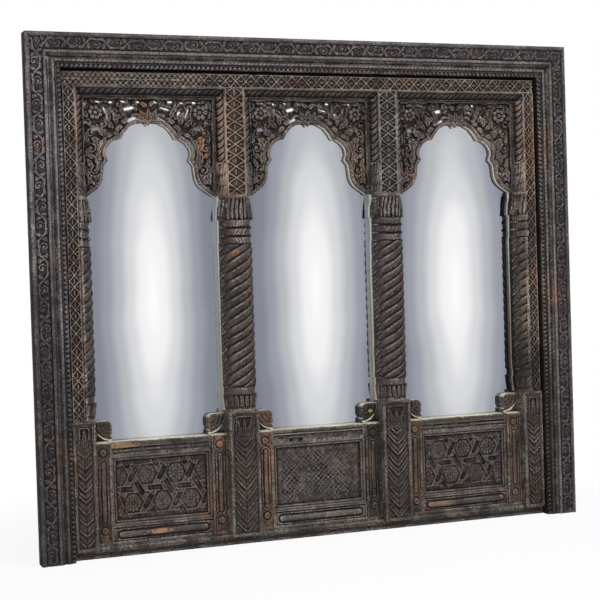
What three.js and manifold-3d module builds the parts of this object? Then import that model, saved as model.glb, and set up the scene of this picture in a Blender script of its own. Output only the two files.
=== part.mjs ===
import * as THREE from 'three';
import { mergeVertices } from 'three/addons/utils/BufferGeometryUtils.js';
import Module from 'manifold-3d';

const wasm = await Module();
wasm.setup();

// A carved three-arched window frame that holds three mirror panes.
// Lengths are millimetres: +X runs to the right, +Z up, and the carved front faces -Y.
// The origin is at the bottom centre of the whole piece.
// A set-back is a distance behind the front face of the outer boards.

// Clearances
const seatGap = 0.3;
const shadowGap = 3;
const paneClearance = 4;
const joinLap = 1;
const cutOver = 6;

// Widths along X, from the outer edge to the middle
const boardWidth = 60;
const beadWidth = 25;
const jambWidth = 37;
const ropeWidth = 22;
const sideBayWidth = 344;
const mullionWidth = 50;
const middleBayWidth = 336;

// Heights along Z, from the floor to the top
const plinthHeight = 22;
const pedestalHeight = 323;
const columnHeight = 555;
const spandrelHeight = 273;
const latticeHeadHeight = 42;

// Thicknesses and set-backs along Y
const mirrorSetBack = 76;
const mirrorThickness = 5;
const backBoardThickness = 8.7;
const boardThickness = 45;
const beadSetBack = 5;
const latticeSetBack = 22;

// Outer boards: two plain fillets with a vine between them
const boardRelief = 3;
const outerFillet = 6;
const vineFieldWidth = 34;
const vinePeriod = 103;
const vineSwing = 11;
const vineStem = 6;
const vineTurnShares = [0.1, 0.4, 0.6, 0.9];
const vineSwingShares = [1, 1, -1, -1];

// Bead moulding: a shelf, a cove and a row for the pearls
const beadShelfWidth = 10;
const beadCoveWidth = 5;
const beadCoveDepth = 4;
const beadRowDrop = 2;

// Lattice members: chip-carved diamonds, and the rebate behind that holds the panes
const latticePitch = 33;
const latticeRelief = 2.5;
const latticeFillet = 5;
const diamondShare = 0.72;
const rearWidth = 50;
const backBoardLap = 25;

// Rope mouldings and the brackets under them
const ropePitch = 17;
const ropeRidge = 3;
const ropeLean = 9;
const ropeDrop = 22;
const bracketHeight = 85;
const ropeAcrossShares = [0, 0.5, 1];
const ropeDropShares = [0, 0.15, 1];
const bracketHeightShares = [0, 0.25, 0.6, 1];
const bracketScoopShares = [0, 0.15, 0.8, 0.3];

// Spandrel boards with a many-lobed arch: half outlines run from the crown to the foot
const spandrelThickness = 17;
const spandrelRelief = 5;
const archRise = 188;
const archHalfShare = 0.965;
const archRimWidth = 11;
const archAcrossShares = [
  0, 0.05, 0.18, 0.3, 0.385, 0.434, 0.51, 0.6, 0.66, 0.68, 0.645, 0.71, 0.735, 0.765, 0.82, 0.9, 1,
];
const archRiseShares = [
  0.955, 1, 0.99, 0.935, 0.85, 0.777, 0.77, 0.72, 0.65, 0.575, 0.49, 0.415, 0.24, 0.17, 0.11, 0.06, 0,
];
const rosetteRadius = 28;
const rosetteInset = 46;
const rosettePetals = 8;
const rosetteWaistShare = 0.74;
const slotLength = 24;
const slotWidth = 6;
const slotPlaceShares = [0.2, 0.42, 0.62];
const slotRingShare = 0.24;
const notchWidth = 13;
const notchHeight = 8;
const notchPitch = 33;
const notchInset = 16;

// Columns: a half-round front on a flat-sided back
const columnWidth = 80;
const sideColumnWidth = 30;
const columnReach = 64;
const columnCheek = 30;
const columnBackInset = 4;
const columnFacets = 6;
const baseFlareHeight = 42;
const baseRingHeight = 20;
const rollsHeight = 27;
const lowerBandHeight = 15;
const upperBandHeight = 20;
const capitalHeight = 55;
const abacusHeight = 8;
const flareOut = 4;
const ringOut = 2;
const neckIn = 5;
const spiralPitch = 24;
const spiralRise = 88;
const fluteDepth = 5;

// Pedestals: a bordered block with a small frame above nested chevrons
const pedestalWidth = 80;
const pedestalThickness = 56;
const pedestalRelief = 3;
const pedestalBorder = 8;
const motifHeight = 65;
const motifRail = 6;
const chevronPitch = 33;
const chevronWidth = 11;
const chevronRise = 26;

// Lower panel units: stiles with ears, two rails and a carved panel
const sillHeight = 9;
const sillThickness = 44;
const unitHeight = 256;
const stileWidth = 43;
const stileThickness = 32;
const reedDepth = 3;
const reedShares = [0, 0.12, 0.2, 0.4, 0.48, 0.52, 0.6, 0.8, 0.88, 1];
const reedCutShares = [0, 0, 1, 1, 0, 0, 1, 1, 0, 0];
const earWidth = 50;
const earRise = 53;
const earStepShare = 0.62;
const bossRadius = 10;
const bossRelief = 3;
const bossSides = 10;
const bossInset = 25;
const railThickness = 28;
const topRailHeight = 36;
const bottomRailHeight = 44;
const barHeight = 16;
const barInset = 14;
const barRelief = 4;
const panelThickness = 16;
const panelMoulding = 15;
const panelMouldingRise = 9;
const panelRelief = 3;
const hexagonSpacing = 76;
const hexagonRowStep = 70;
const hexagonStrap = 7;
const diamondSpacing = 39;
const diamondStrap = 5;

// Plinth, panes and back
const plinthThickness = 46;
const paneLap = 18;
const backBoardLift = 6;

// Hanger plates let into the back, with their screws
const hangerDrop = 260;
const hangerWidth = 20;
const hangerHeight = 90;
const hangerThickness = 3;
const keyholeRadius = 5;
const keyholeSlotWidth = 5;
const keyholeSlotLength = 14;
const keyholePocket = 9;
const screwHeadRadius = 3.5;
const screwShankRadius = 1.75;
const screwHeadDepth = 2;
const screwLength = 18;
const screwInset = 12;
const roundSides = 8;

// Places that follow from the sizes above
const outerBand = boardWidth + beadWidth;
const mullionX = middleBayWidth / 2 + ropeWidth + mullionWidth / 2;
const jambX = mullionX + mullionWidth / 2 + ropeWidth + sideBayWidth + ropeWidth;
const openingX = jambX + jambWidth;
const frameWidth = (openingX + outerBand) * 2;
const unitBase = plinthHeight + sillHeight;
const unitTop = unitBase + unitHeight;
const pedestalTop = plinthHeight + pedestalHeight;
const springing = pedestalTop + columnHeight;
const latticeBase = springing + spandrelHeight;
const openingTop = latticeBase + latticeHeadHeight;
const frameHeight = openingTop + outerBand;
const mirrorBack = mirrorSetBack + mirrorThickness;
const depth = mirrorBack + seatGap + backBoardThickness;
const woodBack = mirrorSetBack - seatGap;
const spandrelFace = woodBack - spandrelThickness;
const postEdge = openingX - shadowGap;
const sidePostX = jambX - pedestalBorder * 3;
const yAt = (setBack) => setBack - depth / 2;

// Solid helpers
function solidOf(geometry) {
  geometry.deleteAttribute('normal');
  geometry.deleteAttribute('uv');
  const merged = mergeVertices(geometry);
  const vertProperties = Float32Array.from(merged.attributes.position.array);
  const triVerts = Uint32Array.from(merged.index.array);
  return new wasm.Manifold(new wasm.Mesh({ numProp: 3, vertProperties, triVerts }));
}

function geometryOf(solid) {
  const { vertProperties, triVerts } = solid.getMesh();
  const geometry = new THREE.BufferGeometry();
  geometry.setAttribute('position', new THREE.BufferAttribute(vertProperties, 3));
  geometry.setIndex(new THREE.BufferAttribute(triVerts, 1));
  geometry.computeVertexNormals();
  return geometry;
}

const join = (solids) => solids.reduce((sum, solid) => sum.add(solid));

function shapeOf(outline) {
  return new THREE.Shape(outline.map(([u, v]) => new THREE.Vector2(u, v)));
}

// A block between two values along each of X, set-back and Z
function block([left, right], [front, back], [bottom, top]) {
  const geometry = new THREE.BoxGeometry(right - left, back - front, top - bottom);
  geometry.translate((left + right) / 2, yAt((front + back) / 2), (bottom + top) / 2);
  return solidOf(geometry);
}

// A front-view outline of [x, z] points, solid between two set-backs
function plate(outline, [front, back], holes = []) {
  const shape = shapeOf(outline);
  shape.holes = holes.map(shapeOf);
  const geometry = new THREE.ExtrudeGeometry(shape, { depth: back - front, bevelEnabled: false });
  geometry.rotateX(Math.PI / 2);
  geometry.translate(0, yAt(back), 0);
  return solidOf(geometry);
}

// A plan outline of [x, set-back] points, solid between two heights
function upright(outline, [bottom, top]) {
  const shape = shapeOf(outline.map(([x, setBack]) => [x, yAt(setBack)]));
  const geometry = new THREE.ExtrudeGeometry(shape, { depth: top - bottom, bevelEnabled: false });
  geometry.translate(0, 0, bottom);
  return solidOf(geometry);
}

// A side-view outline of [set-back, z] points, solid between two places along X
function rail(outline, [left, right]) {
  const shape = shapeOf(outline.map(([setBack, z]) => [yAt(setBack), z]));
  const geometry = new THREE.ExtrudeGeometry(shape, { depth: right - left, bevelEnabled: false });
  const turn = new THREE.Matrix4().set(0, 0, 1, 0, 1, 0, 0, 0, 0, 1, 0, 0, 0, 0, 0, 1);
  geometry.applyMatrix4(turn);
  geometry.translate(left, 0, 0);
  return solidOf(geometry);
}

// Six times the signed volume of a closed triangle mesh
function volumeOf(positions, index) {
  const [a, b, c] = [0, 0, 0].map(() => new THREE.Vector3());
  let sum = 0;
  for (let i = 0; i < index.length; i += 3) {
    [a, b, c].forEach((corner, k) => corner.fromArray(positions, index[i + k] * 3));
    sum += a.dot(b.clone().cross(c));
  }
  return sum;
}

// A skin through closed rings of [x, y, z] points, turned so that its faces look out
function loft(rings) {
  const count = rings[0].length;
  const positions = rings.flat(2);
  const index = [];
  for (let level = 0; level + 1 < rings.length; level += 1) {
    for (let i = 0; i < count; i += 1) {
      const low = level * count + i;
      const next = level * count + ((i + 1) % count);
      index.push(low, next, next + count, low, next + count, low + count);
    }
  }
  const last = (rings.length - 1) * count;
  for (let i = 1; i + 1 < count; i += 1) {
    index.push(0, i + 1, i, last, last + i, last + i + 1);
  }
  if (volumeOf(positions, index) < 0) {
    index.reverse();
  }
  const geometry = new THREE.BufferGeometry();
  geometry.setAttribute('position', new THREE.Float32BufferAttribute(positions, 3));
  geometry.setIndex(index);
  return solidOf(geometry);
}

// A regular outline round a point, every second corner drawn in by a share
function star([x, z], radius, corners, waistShare = 1, turn = 0) {
  return Array.from({ length: corners }, (unused, i) => {
    const angle = turn + (i / corners) * Math.PI * 2;
    const reach = i % 2 === 0 ? radius : radius * waistShare;
    return [x + reach * Math.cos(angle), z + reach * Math.sin(angle)];
  });
}

const mirrored = (outline, side) => outline.map(([x, z]) => [side * x, z]);

// Materials
const wood = (color, roughness) => new THREE.MeshStandardMaterial({ color, roughness, metalness: 0 });
const darkWood = wood('#2f2824', 0.55);
const wornWood = wood('#43382f', 0.6);
const carvedWood = wood('#383029', 0.6);
const plainWood = wood('#6b5a45', 0.8);
const silveredGlass = new THREE.MeshStandardMaterial({ color: '#c9ced8', roughness: 0.04, metalness: 1 });
const steel = new THREE.MeshStandardMaterial({ color: '#8a8c8f', roughness: 0.35, metalness: 1 });

const group = new THREE.Group();
function put(name, solid, material) {
  const mesh = new THREE.Mesh(geometryOf(solid), material.clone());
  mesh.name = name;
  group.add(mesh);
}

// Outer boards: the head runs the full width and the side boards stand under it
function surround(from, to) {
  const [outer, inner] = [frameWidth / 2 - from, frameWidth / 2 - to];
  const [top, innerTop] = [frameHeight - from, frameHeight - to];
  const left = [[-outer, 0], [-outer, top], [outer, top], [outer, 0]];
  return [...left, [inner, 0], [inner, innerTop], [-inner, innerTop], [-inner, 0]];
}

// A vine stem that swings to and fro along a run; place turns along and across into [x, z]
function vine(run, place) {
  const turns = Math.max(1, Math.round(run / vinePeriod));
  const edge = (shift) => {
    const points = [[0, shift]];
    for (let turn = 0; turn < turns; turn += 1) {
      vineTurnShares.forEach((share, i) => {
        points.push([((turn + share) / turns) * run, vineSwingShares[i] * vineSwing + shift]);
      });
    }
    points.push([run, shift]);
    return points;
  };
  const outline = [...edge(vineStem / 2), ...edge(-vineStem / 2).reverse()];
  return plate(outline.map(([along, across]) => place(along, across)), [0, boardRelief + joinLap]);
}

function outerBoards() {
  const vineAt = outerFillet + vineFieldWidth / 2;
  const fieldEnd = outerFillet + vineFieldWidth;
  const reliefSpan = [0, boardRelief + joinLap];
  const fillets = plate(surround(0, outerFillet), reliefSpan)
    .add(plate(surround(fieldEnd, boardWidth), reliefSpan));
  const halfRun = frameWidth / 2 - vineAt;
  const rise = frameHeight - boardWidth;
  const span = [boardRelief, boardThickness];
  const half = frameWidth / 2;
  const headZ = [rise, frameHeight];
  const stem = vine(halfRun * 2, (along, across) => [along - halfRun, frameHeight - vineAt + across]);
  const headFillets = fillets.intersect(block([-half, half], [0, boardThickness], headZ));
  put('outer_board_top', block([-half, half], span, headZ).add(headFillets).add(stem), darkWood);
  for (const [name, side] of [['left', -1], ['right', 1]]) {
    const xs = [side * half, side * (half - boardWidth)].sort((a, b) => a - b);
    const zs = [0, rise - seatGap];
    const sideStem = vine(zs[1], (along, across) => [side * (half - vineAt + across), along]);
    const sideFillets = fillets.intersect(block(xs, [0, boardThickness], zs));
    put(`outer_board_${name}`, block(xs, span, zs).add(sideFillets).add(sideStem), darkWood);
  }
}

// Bead mouldings: mitred strips between the outer boards and the lattice
function beadMouldings() {
  const shelfEnd = boardWidth + beadShelfWidth;
  const coveEnd = shelfEnd + beadCoveWidth;
  const rowFace = beadSetBack + beadRowDrop;
  const all = join([
    plate(surround(boardWidth + seatGap, shelfEnd), [beadSetBack, boardThickness]),
    plate(surround(shelfEnd - joinLap, coveEnd), [beadSetBack + beadCoveDepth, boardThickness]),
    plate(surround(coveEnd - joinLap, outerBand), [rowFace, boardThickness]),
  ]);
  const half = frameWidth / 2;
  const head = [[-half, frameHeight], [half, frameHeight]];
  const throat = [half - outerBand - cutOver, frameHeight - outerBand - cutOver];
  const headOutline = [...head, [throat[0], throat[1]], [-throat[0], throat[1]]];
  put('bead_moulding_top', all.intersect(plate(headOutline, [0, depth])), wornWood);
  for (const [name, side] of [['left', -1], ['right', 1]]) {
    const outline = mirrored([
      [half, -cutOver], [half, frameHeight - seatGap],
      [throat[0], throat[1] - seatGap], [throat[0], -cutOver],
    ], side);
    put(`bead_moulding_${name}`, all.intersect(plate(outline, [0, depth])), wornWood);
  }
}

// Lattice members: the section runs from the bay side (0) outwards behind the outer boards
function latticeSection(width) {
  const face = latticeSetBack;
  const shoulder = boardThickness + seatGap;
  return [
    [0, face], [width - shadowGap, face], [width - shadowGap, shoulder], [width + rearWidth, shoulder],
    [width + rearWidth, depth], [width + backBoardLap, depth], [width + backBoardLap, mirrorBack],
    [width, mirrorBack], [width, woodBack], [0, woodBack],
  ];
}

// Diamonds cut in a row; place turns along and across into [x, z]
function diamonds(run, width, place) {
  const count = Math.max(1, Math.round(run / latticePitch));
  const reach = (run / count) * diamondShare / 2;
  const swing = width / 2 - latticeFillet;
  return Array.from({ length: count }, (unused, i) => {
    const middle = ((i + 1 / 2) / count) * run;
    const outline = [[middle - reach, 0], [middle, swing], [middle + reach, 0], [middle, -swing]];
    const points = outline.map(([along, across]) => place(along, across));
    return plate(points, [latticeSetBack - cutOver, latticeSetBack + latticeRelief]);
  });
}

function latticeHead() {
  const section = latticeSection(latticeHeadHeight).map(([up, setBack]) => [setBack, latticeBase + up]);
  const half = openingX + rearWidth;
  const band = latticeHeadHeight - shadowGap;
  const place = (along, across) => [along - postEdge, latticeBase + band / 2 + across];
  const cutters = diamonds(postEdge * 2, band, place);
  for (const side of [-1, 1]) {
    const xs = [side * postEdge, side * (half + cutOver)].sort((a, b) => a - b);
    cutters.push(block(xs, [0, depth + cutOver], [latticeBase - cutOver, openingTop]));
  }
  return cutters.reduce((solid, cutter) => solid.subtract(cutter), rail(section, [-half, half]));
}

function jamb(side) {
  const top = latticeBase - seatGap;
  const section = latticeSection(jambWidth).map(([out, setBack]) => [side * (jambX + out), setBack]);
  const band = jambWidth - shadowGap;
  const base = pedestalTop + seatGap;
  const centre = side * (jambX + band / 2);
  const cutters = diamonds(top - base, band, (along, across) => [centre + across, base + along]);
  const xs = [side * (jambX - cutOver), side * openingX].sort((a, b) => a - b);
  cutters.push(block(xs, [0, depth], [-cutOver, base]), block(xs, [0, depth], [top, frameHeight]));
  cutters.push(hangerRecess(side));
  const body = upright(section, [0, openingTop - seatGap]);
  return cutters.reduce((solid, cutter) => solid.subtract(cutter), body);
}

function mullion(side) {
  const centre = side * mullionX;
  const xs = [centre - mullionWidth / 2, centre + mullionWidth / 2];
  const [base, top] = [springing + seatGap, latticeBase - seatGap];
  const cutters = diamonds(top - base, mullionWidth, (along, across) => [centre + across, base + along]);
  const body = block(xs, [latticeSetBack, woodBack], [base, top]);
  return cutters.reduce((solid, cutter) => solid.subtract(cutter), body);
}

// Rope mouldings: a ridged bar that slopes from the lattice down to the spandrel.
// It is made standing on end, with across running from the lattice (0) towards the bay.
function ropeRing(side, scoop, level, lean) {
  const base = spandrelFace - seatGap;
  const deepest = base - latticeSetBack - joinLap;
  const front = ropeAcrossShares.map((share, i) => {
    const drop = Math.min(ropeDropShares[i] * ropeDrop + scoop, deepest);
    return [share, latticeSetBack + drop];
  });
  const outline = [...front, [1, base], [0, base]];
  const width = ropeWidth - seatGap;
  return outline.map(([share, setBack]) => {
    return [side * (seatGap + share * width), yAt(setBack), level + side * share * lean];
  });
}

function ropeBar(side, lean, [low, high]) {
  const half = ropePitch / 2;
  const reach = Math.abs(lean);
  const steps = Math.ceil((high - low + reach * 2) / half) + 1;
  const rings = Array.from({ length: steps + 1 }, (unused, step) => {
    return ropeRing(side, (step % 2) * ropeRidge, low - reach + step * half, lean);
  });
  const edge = ropeWidth + cutOver;
  return loft(rings).intersect(block([-edge, edge], [0, depth], [low, high]));
}

function bracket(side) {
  return loft(bracketHeightShares.map((share, i) => {
    const level = share * bracketHeight;
    return ropeRing(side, bracketScoopShares[i] * ropeDrop, level, 0);
  }));
}

function sideRope(side) {
  const top = spandrelHeight - seatGap * 2;
  const [inner, outer] = [side * (ropeWidth + cutOver), -side * cutOver];
  const mitre = [
    [outer, -cutOver], [outer, top + cutOver], [inner, top - ropeWidth - cutOver], [inner, -cutOver],
  ];
  const bar = ropeBar(side, ropeLean, [bracketHeight - joinLap, top]);
  return bar.add(bracket(side)).intersect(plate(mitre, [0, depth]));
}

// The head rope lies along X, so its bar is cut to a mitre at both ends before it is turned
function headRope(run) {
  const inner = ropeWidth + cutOver;
  const mitre = [[-cutOver, -cutOver], [-cutOver, run + cutOver], [inner, run - inner], [inner, inner]];
  return ropeBar(1, -ropeLean, [0, run]).intersect(plate(mitre, [0, depth]));
}

// Spandrel boards
function archOutline(half, grow = 0) {
  const halfSpan = half * archHalfShare + grow;
  const rise = archRise + grow;
  const right = archAcrossShares.map((share, i) => [share * halfSpan, springing + archRiseShares[i] * rise]);
  const left = right.slice(1).reverse();
  return [...mirrored(left, -1), ...right];
}

function spandrelCutters(half) {
  const cutters = [];
  const through = [0, depth];
  const slotRing = archOutline(half, archRise * slotRingShare);
  for (const share of slotPlaceShares) {
    const at = Math.floor(slotRing.length * (1 + share) / 2);
    const [x, z] = slotRing[at];
    const [nextX, nextZ] = slotRing[at + 1];
    const along = new THREE.Vector2(nextX - x, nextZ - z).normalize();
    const [reach, half] = [slotLength / 2, slotWidth / 2];
    const outline = [[reach, 0], [0, half], [-reach, 0], [0, -half]].map(([u, v]) => {
      return [x + u * along.x - v * along.y, z + u * along.y + v * along.x];
    });
    cutters.push(plate(outline, through), plate(mirrored(outline, -1), through));
  }
  const count = Math.max(2, Math.floor((half - rosetteInset) * 2 / notchPitch));
  const notchTop = latticeBase - ropeWidth - notchInset + notchHeight;
  for (let i = 0; i < count; i += 1) {
    const x = (i - (count - 1) / 2) * notchPitch;
    const reach = notchWidth / 2;
    const outline = [[x, notchTop - notchHeight], [x + reach, notchTop], [x - reach, notchTop]];
    cutters.push(plate(outline, through));
  }
  return cutters;
}

function spandrel(bayWidth) {
  const half = bayWidth / 2;
  const edge = half + ropeWidth - seatGap;
  const top = latticeBase - seatGap;
  const base = springing + seatGap;
  const under = springing - cutOver;
  const closed = (arch) => [[arch[0][0], under], ...arch, [arch.at(-1)[0], under]];
  const hole = closed(archOutline(half));
  const rim = closed(archOutline(half, archRimWidth));
  const raised = [spandrelFace - spandrelRelief, spandrelFace + joinLap];
  const inside = block([-half, half], [0, depth], [base, latticeBase - ropeWidth]);
  const petals = rosettePetals * 2;
  const rosetteZ = latticeBase - ropeWidth - rosetteInset;
  const rosettes = [-1, 1].map((side) => {
    const centre = [side * (half - rosetteInset), rosetteZ];
    return plate(star(centre, rosetteRadius, petals, rosetteWaistShare), raised);
  });
  const board = block([-edge, edge], [spandrelFace, woodBack], [base, top]);
  const relief = plate(rim, raised).add(join(rosettes)).intersect(inside);
  const cutters = [plate(hole, [0, depth]), ...spandrelCutters(half)];
  return cutters.reduce((solid, cutter) => solid.subtract(cutter), board.add(relief));
}

// Columns: rings of one plan shape, wider or narrower, joined to a fluted spiral shaft
function columnRing(halfWidth, level, rise = 0) {
  const cheek = woodBack - columnCheek;
  const front = (columnReach - columnCheek) * (halfWidth / (columnWidth / 2));
  const ring = Array.from({ length: columnFacets }, (unused, i) => {
    const angle = (i / (columnFacets - 1)) * Math.PI;
    const z = level + rise * (i / (columnFacets - 1));
    return [-halfWidth * Math.cos(angle), yAt(cheek - front * Math.sin(angle)), z];
  });
  const back = columnWidth / 2 - columnBackInset;
  return [...ring, [back, yAt(woodBack), level + rise], [-back, yAt(woodBack), level]];
}

function spiralShaft(low, high) {
  const half = spiralPitch / 2;
  const steps = Math.ceil((high - low + spiralRise) / half) + 1;
  const rings = Array.from({ length: steps + 1 }, (unused, step) => {
    const halfWidth = columnWidth / 2 - (step % 2) * fluteDepth;
    return columnRing(halfWidth, low - spiralRise + (step - 1) * half, spiralRise);
  });
  const edge = columnWidth;
  return loft(rings).intersect(block([-edge, edge], [0, depth], [low, high]));
}

function column() {
  const half = columnWidth / 2;
  const low = pedestalTop + seatGap;
  const shaftLow = low + baseFlareHeight + baseRingHeight;
  const high = springing;
  const capitalLow = high - abacusHeight - capitalHeight;
  const bandsLow = capitalLow - upperBandHeight - lowerBandHeight;
  const shaftHigh = bandsLow - rollsHeight;
  const flare = [
    columnRing(half + flareOut, low), columnRing(half, low + baseFlareHeight / 2),
    columnRing(half - ringOut, low + baseFlareHeight),
  ];
  const ring = [
    columnRing(half + ringOut, low + baseFlareHeight - joinLap), columnRing(half + ringOut, shaftLow),
  ];
  const rolls = [
    columnRing(half, shaftHigh), columnRing(half + ringOut, shaftHigh + rollsHeight / 2),
    columnRing(half, bandsLow + joinLap),
  ];
  const band = (from, to, out) => [columnRing(half + out, from), columnRing(half + out, to)];
  const lower = band(bandsLow, bandsLow + lowerBandHeight + joinLap, ringOut);
  const upper = band(bandsLow + lowerBandHeight, capitalLow + joinLap, 0);
  const capital = [
    columnRing(half - neckIn, capitalLow), columnRing(half - ringOut, capitalLow + capitalHeight / 2),
    columnRing(half + ringOut, high - abacusHeight), columnRing(half + ringOut, high),
  ];
  const shaft = spiralShaft(shaftLow - joinLap, shaftHigh + joinLap);
  return join([flare, ring, rolls, lower, upper, capital].map(loft)).add(shaft);
}

function sideColumn(side) {
  const centre = side * (jambX - sideColumnWidth + columnWidth / 2);
  const cut = Math.abs(jambX - seatGap) - Math.abs(centre);
  const xs = [side * cut, -side * columnWidth].sort((a, b) => a - b);
  return column().intersect(block(xs, [0, depth], [0, springing]));
}

// Pedestals
function pedestal(width) {
  const half = width / 2;
  const [low, high] = [plinthHeight + seatGap, pedestalTop];
  const face = woodBack - pedestalThickness;
  const field = face + pedestalRelief;
  const raised = [face, field + joinLap];
  const inner = half - pedestalBorder;
  const frame = (reach, [bottom, top]) => [[-reach, bottom], [reach, bottom], [reach, top], [-reach, top]];
  const border = plate(frame(half, [low, high]), raised, [
    frame(inner, [low + pedestalBorder, high - pedestalBorder]),
  ]);
  const motifBase = high - pedestalBorder - motifHeight;
  const motifTurn = Math.PI / 4;
  const lozengeRadius = Math.min(inner, motifHeight / 2) - motifRail;
  const lozenge = star([0, motifBase + motifHeight / 2], lozengeRadius, 4, 1, motifTurn * 2);
  const motif = plate(frame(inner + joinLap, [motifBase - motifRail, motifBase]), raised)
    .add(plate(lozenge, raised));
  const fieldZ = [low + pedestalBorder - joinLap, motifBase - motifRail + joinLap];
  const fieldSpan = block([-inner - joinLap, inner + joinLap], [0, depth], fieldZ);
  const count = Math.ceil((motifBase - low) / chevronPitch) + 1;
  const chevrons = Array.from({ length: count }, (unused, i) => {
    const tip = low + (i - 1 / 2) * chevronPitch;
    const end = tip + chevronRise;
    const reach = inner + joinLap;
    return plate([
      [0, tip], [reach, end], [reach, end + chevronWidth],
      [0, tip + chevronWidth], [-reach, end + chevronWidth], [-reach, end],
    ], raised).intersect(fieldSpan);
  });
  const body = block([-half, half], [field, woodBack], [low, high]);
  return join([body, border, motif, ...chevrons]);
}

// Lower panel units, each made round X = 0 and then moved to its bay
function stile(unitHalf, side) {
  const [low, high] = [unitBase + seatGap, unitTop + earRise];
  const face = woodBack - stileThickness;
  const outer = unitHalf - seatGap;
  const inner = unitHalf - stileWidth;
  const reeds = reedShares.map((share, i) => {
    return [side * (outer - share * (outer - inner)), face + reedCutShares[i] * reedDepth];
  });
  const outline = [...reeds, [side * inner, woodBack], [side * outer, woodBack]];
  const post = upright(outline, [low, unitTop]);
  const step = unitTop + earRise * earStepShare;
  const earInner = unitHalf - earWidth;
  const round = (high - step) / 2;
  const ear = mirrored([
    [outer, unitTop - joinLap], [outer, high], [earInner + round, high],
    [earInner, step + round], [earInner, unitTop + seatGap], [inner, unitTop + seatGap],
    [inner, unitTop - joinLap],
  ], side);
  const bossX = side * (unitHalf - stileWidth / 2);
  const bosses = [low + bossInset + bossRadius, unitTop - bossInset].map((z) => {
    return plate(star([bossX, z], bossRadius, bossSides), [face - bossRelief, face + reedDepth + joinLap]);
  });
  return join([post, plate(ear, [face, woodBack]), ...bosses]);
}

function reededRail(unitHalf, [low, high]) {
  const face = woodBack - railThickness;
  const reach = unitHalf - stileWidth - seatGap;
  const reeds = reedShares.map((share, i) => {
    return [face + reedCutShares[i] * reedDepth, low + share * (high - low)];
  });
  return rail([...reeds, [woodBack, high], [woodBack, low]], [-reach, reach]);
}

function barredRail(unitHalf, [low, high]) {
  const face = woodBack - railThickness;
  const reach = unitHalf - stileWidth - seatGap;
  const middle = (low + high) / 2;
  const end = reach - barInset;
  const round = barHeight / 2;
  const bar = [
    [-end, middle], [-end + round, middle - round], [end - round, middle - round],
    [end, middle], [end - round, middle + round], [-end + round, middle + round],
  ];
  return block([-reach, reach], [face, woodBack], [low, high])
    .add(plate(bar, [face - barRelief, face + joinLap]));
}

function carvedPanel(unitHalf, pattern) {
  const reach = unitHalf - stileWidth - seatGap;
  const low = unitBase + bottomRailHeight + seatGap;
  const high = unitTop - topRailHeight - seatGap;
  const face = woodBack - panelThickness;
  const corners = (inset) => [
    [-reach + inset, low + inset], [reach - inset, low + inset],
    [reach - inset, high - inset], [-reach + inset, high - inset],
  ];
  const surroundFace = face - panelMouldingRise;
  const moulding = plate(corners(0), [surroundFace, face + joinLap], [corners(panelMoulding)]);
  const raised = [face - panelRelief, face + joinLap];
  const field = plate(corners(panelMoulding - joinLap), [0, depth]);
  const straps = join(pattern(reach, [low, high], raised)).intersect(field);
  return join([block([-reach, reach], [face, woodBack], [low, high]), moulding, straps]);
}

// Two rows of linked hexagons, the upper row shifted by half a step
function hexagonStraps(reach, [low, high], raised) {
  const middle = (low + high) / 2;
  const radius = hexagonSpacing / 2;
  const turn = Math.PI / 6;
  const straps = [];
  for (const row of [-1, 1]) {
    const z = middle + row * hexagonRowStep / 2;
    const count = Math.floor(reach * 2 / hexagonSpacing) + 1;
    for (let i = 0; i < count; i += 1) {
      const x = (i - (count - 1) / 2 + row / 4) * hexagonSpacing;
      const hole = star([x, z], radius - hexagonStrap, 6, 1, turn);
      straps.push(plate(star([x, z], radius, 6, 1, turn), raised, [hole]));
    }
  }
  const bar = hexagonStrap / 2;
  straps.push(plate([
    [-reach, middle - bar], [reach, middle - bar], [reach, middle + bar], [-reach, middle + bar],
  ], raised));
  return straps;
}

// Straps that cross at right angles on the slant
function diamondStraps(reach, [low, high], raised) {
  const rise = high - low;
  const count = Math.ceil((reach * 2 + rise) / diamondSpacing);
  const straps = [];
  for (let i = 0; i <= count; i += 1) {
    const start = -reach - rise + i * diamondSpacing;
    for (const side of [-1, 1]) {
      straps.push(plate(mirrored([
        [start, low], [start + diamondStrap, low], [start + rise + diamondStrap, high], [start + rise, high],
      ], side), raised));
    }
  }
  return straps;
}

// Plinth with a sill block under each panel unit
function plinth(units) {
  const face = mirrorBack - plinthThickness;
  const back = mirrorBack;
  const reach = postEdge - seatGap;
  const sillFace = woodBack - sillThickness;
  const sills = units.map(({ x, half }) => {
    const edge = half - seatGap;
    return rail([
      [sillFace, plinthHeight - joinLap], [sillFace, plinthHeight + sillHeight / 2],
      [sillFace + sillHeight, unitBase],
      [woodBack, unitBase], [woodBack, plinthHeight - joinLap],
    ], [x - edge, x + edge]);
  });
  return join([block([-reach, reach], [face, back], [0, plinthHeight]), ...sills]);
}

// Hanger plates: a keyhole plate let flush into the back of each jamb
const hangerX = openingX + (backBoardLap + rearWidth) / 2;
const hangerZ = frameHeight - hangerDrop;
const screwZs = [-1, 1].map((way) => hangerZ + way * (hangerHeight / 2 - screwInset));

function hangerOutline(side, grow) {
  const [halfX, halfZ] = [hangerWidth / 2 + grow, hangerHeight / 2 + grow];
  const x = side * hangerX;
  return [
    [x - halfX, hangerZ - halfZ], [x + halfX, hangerZ - halfZ],
    [x + halfX, hangerZ + halfZ], [x - halfX, hangerZ + halfZ],
  ];
}

function keyhole(side, grow) {
  const x = side * hangerX;
  const slot = keyholeSlotWidth / 2 + grow;
  const top = hangerZ + keyholeSlotLength;
  return plate(star([x, hangerZ], keyholeRadius + grow, roundSides), [0, depth + cutOver])
    .add(plate([
      [x - slot, hangerZ], [x + slot, hangerZ], [x + slot, top], [x - slot, top],
    ], [0, depth + cutOver]));
}

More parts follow.
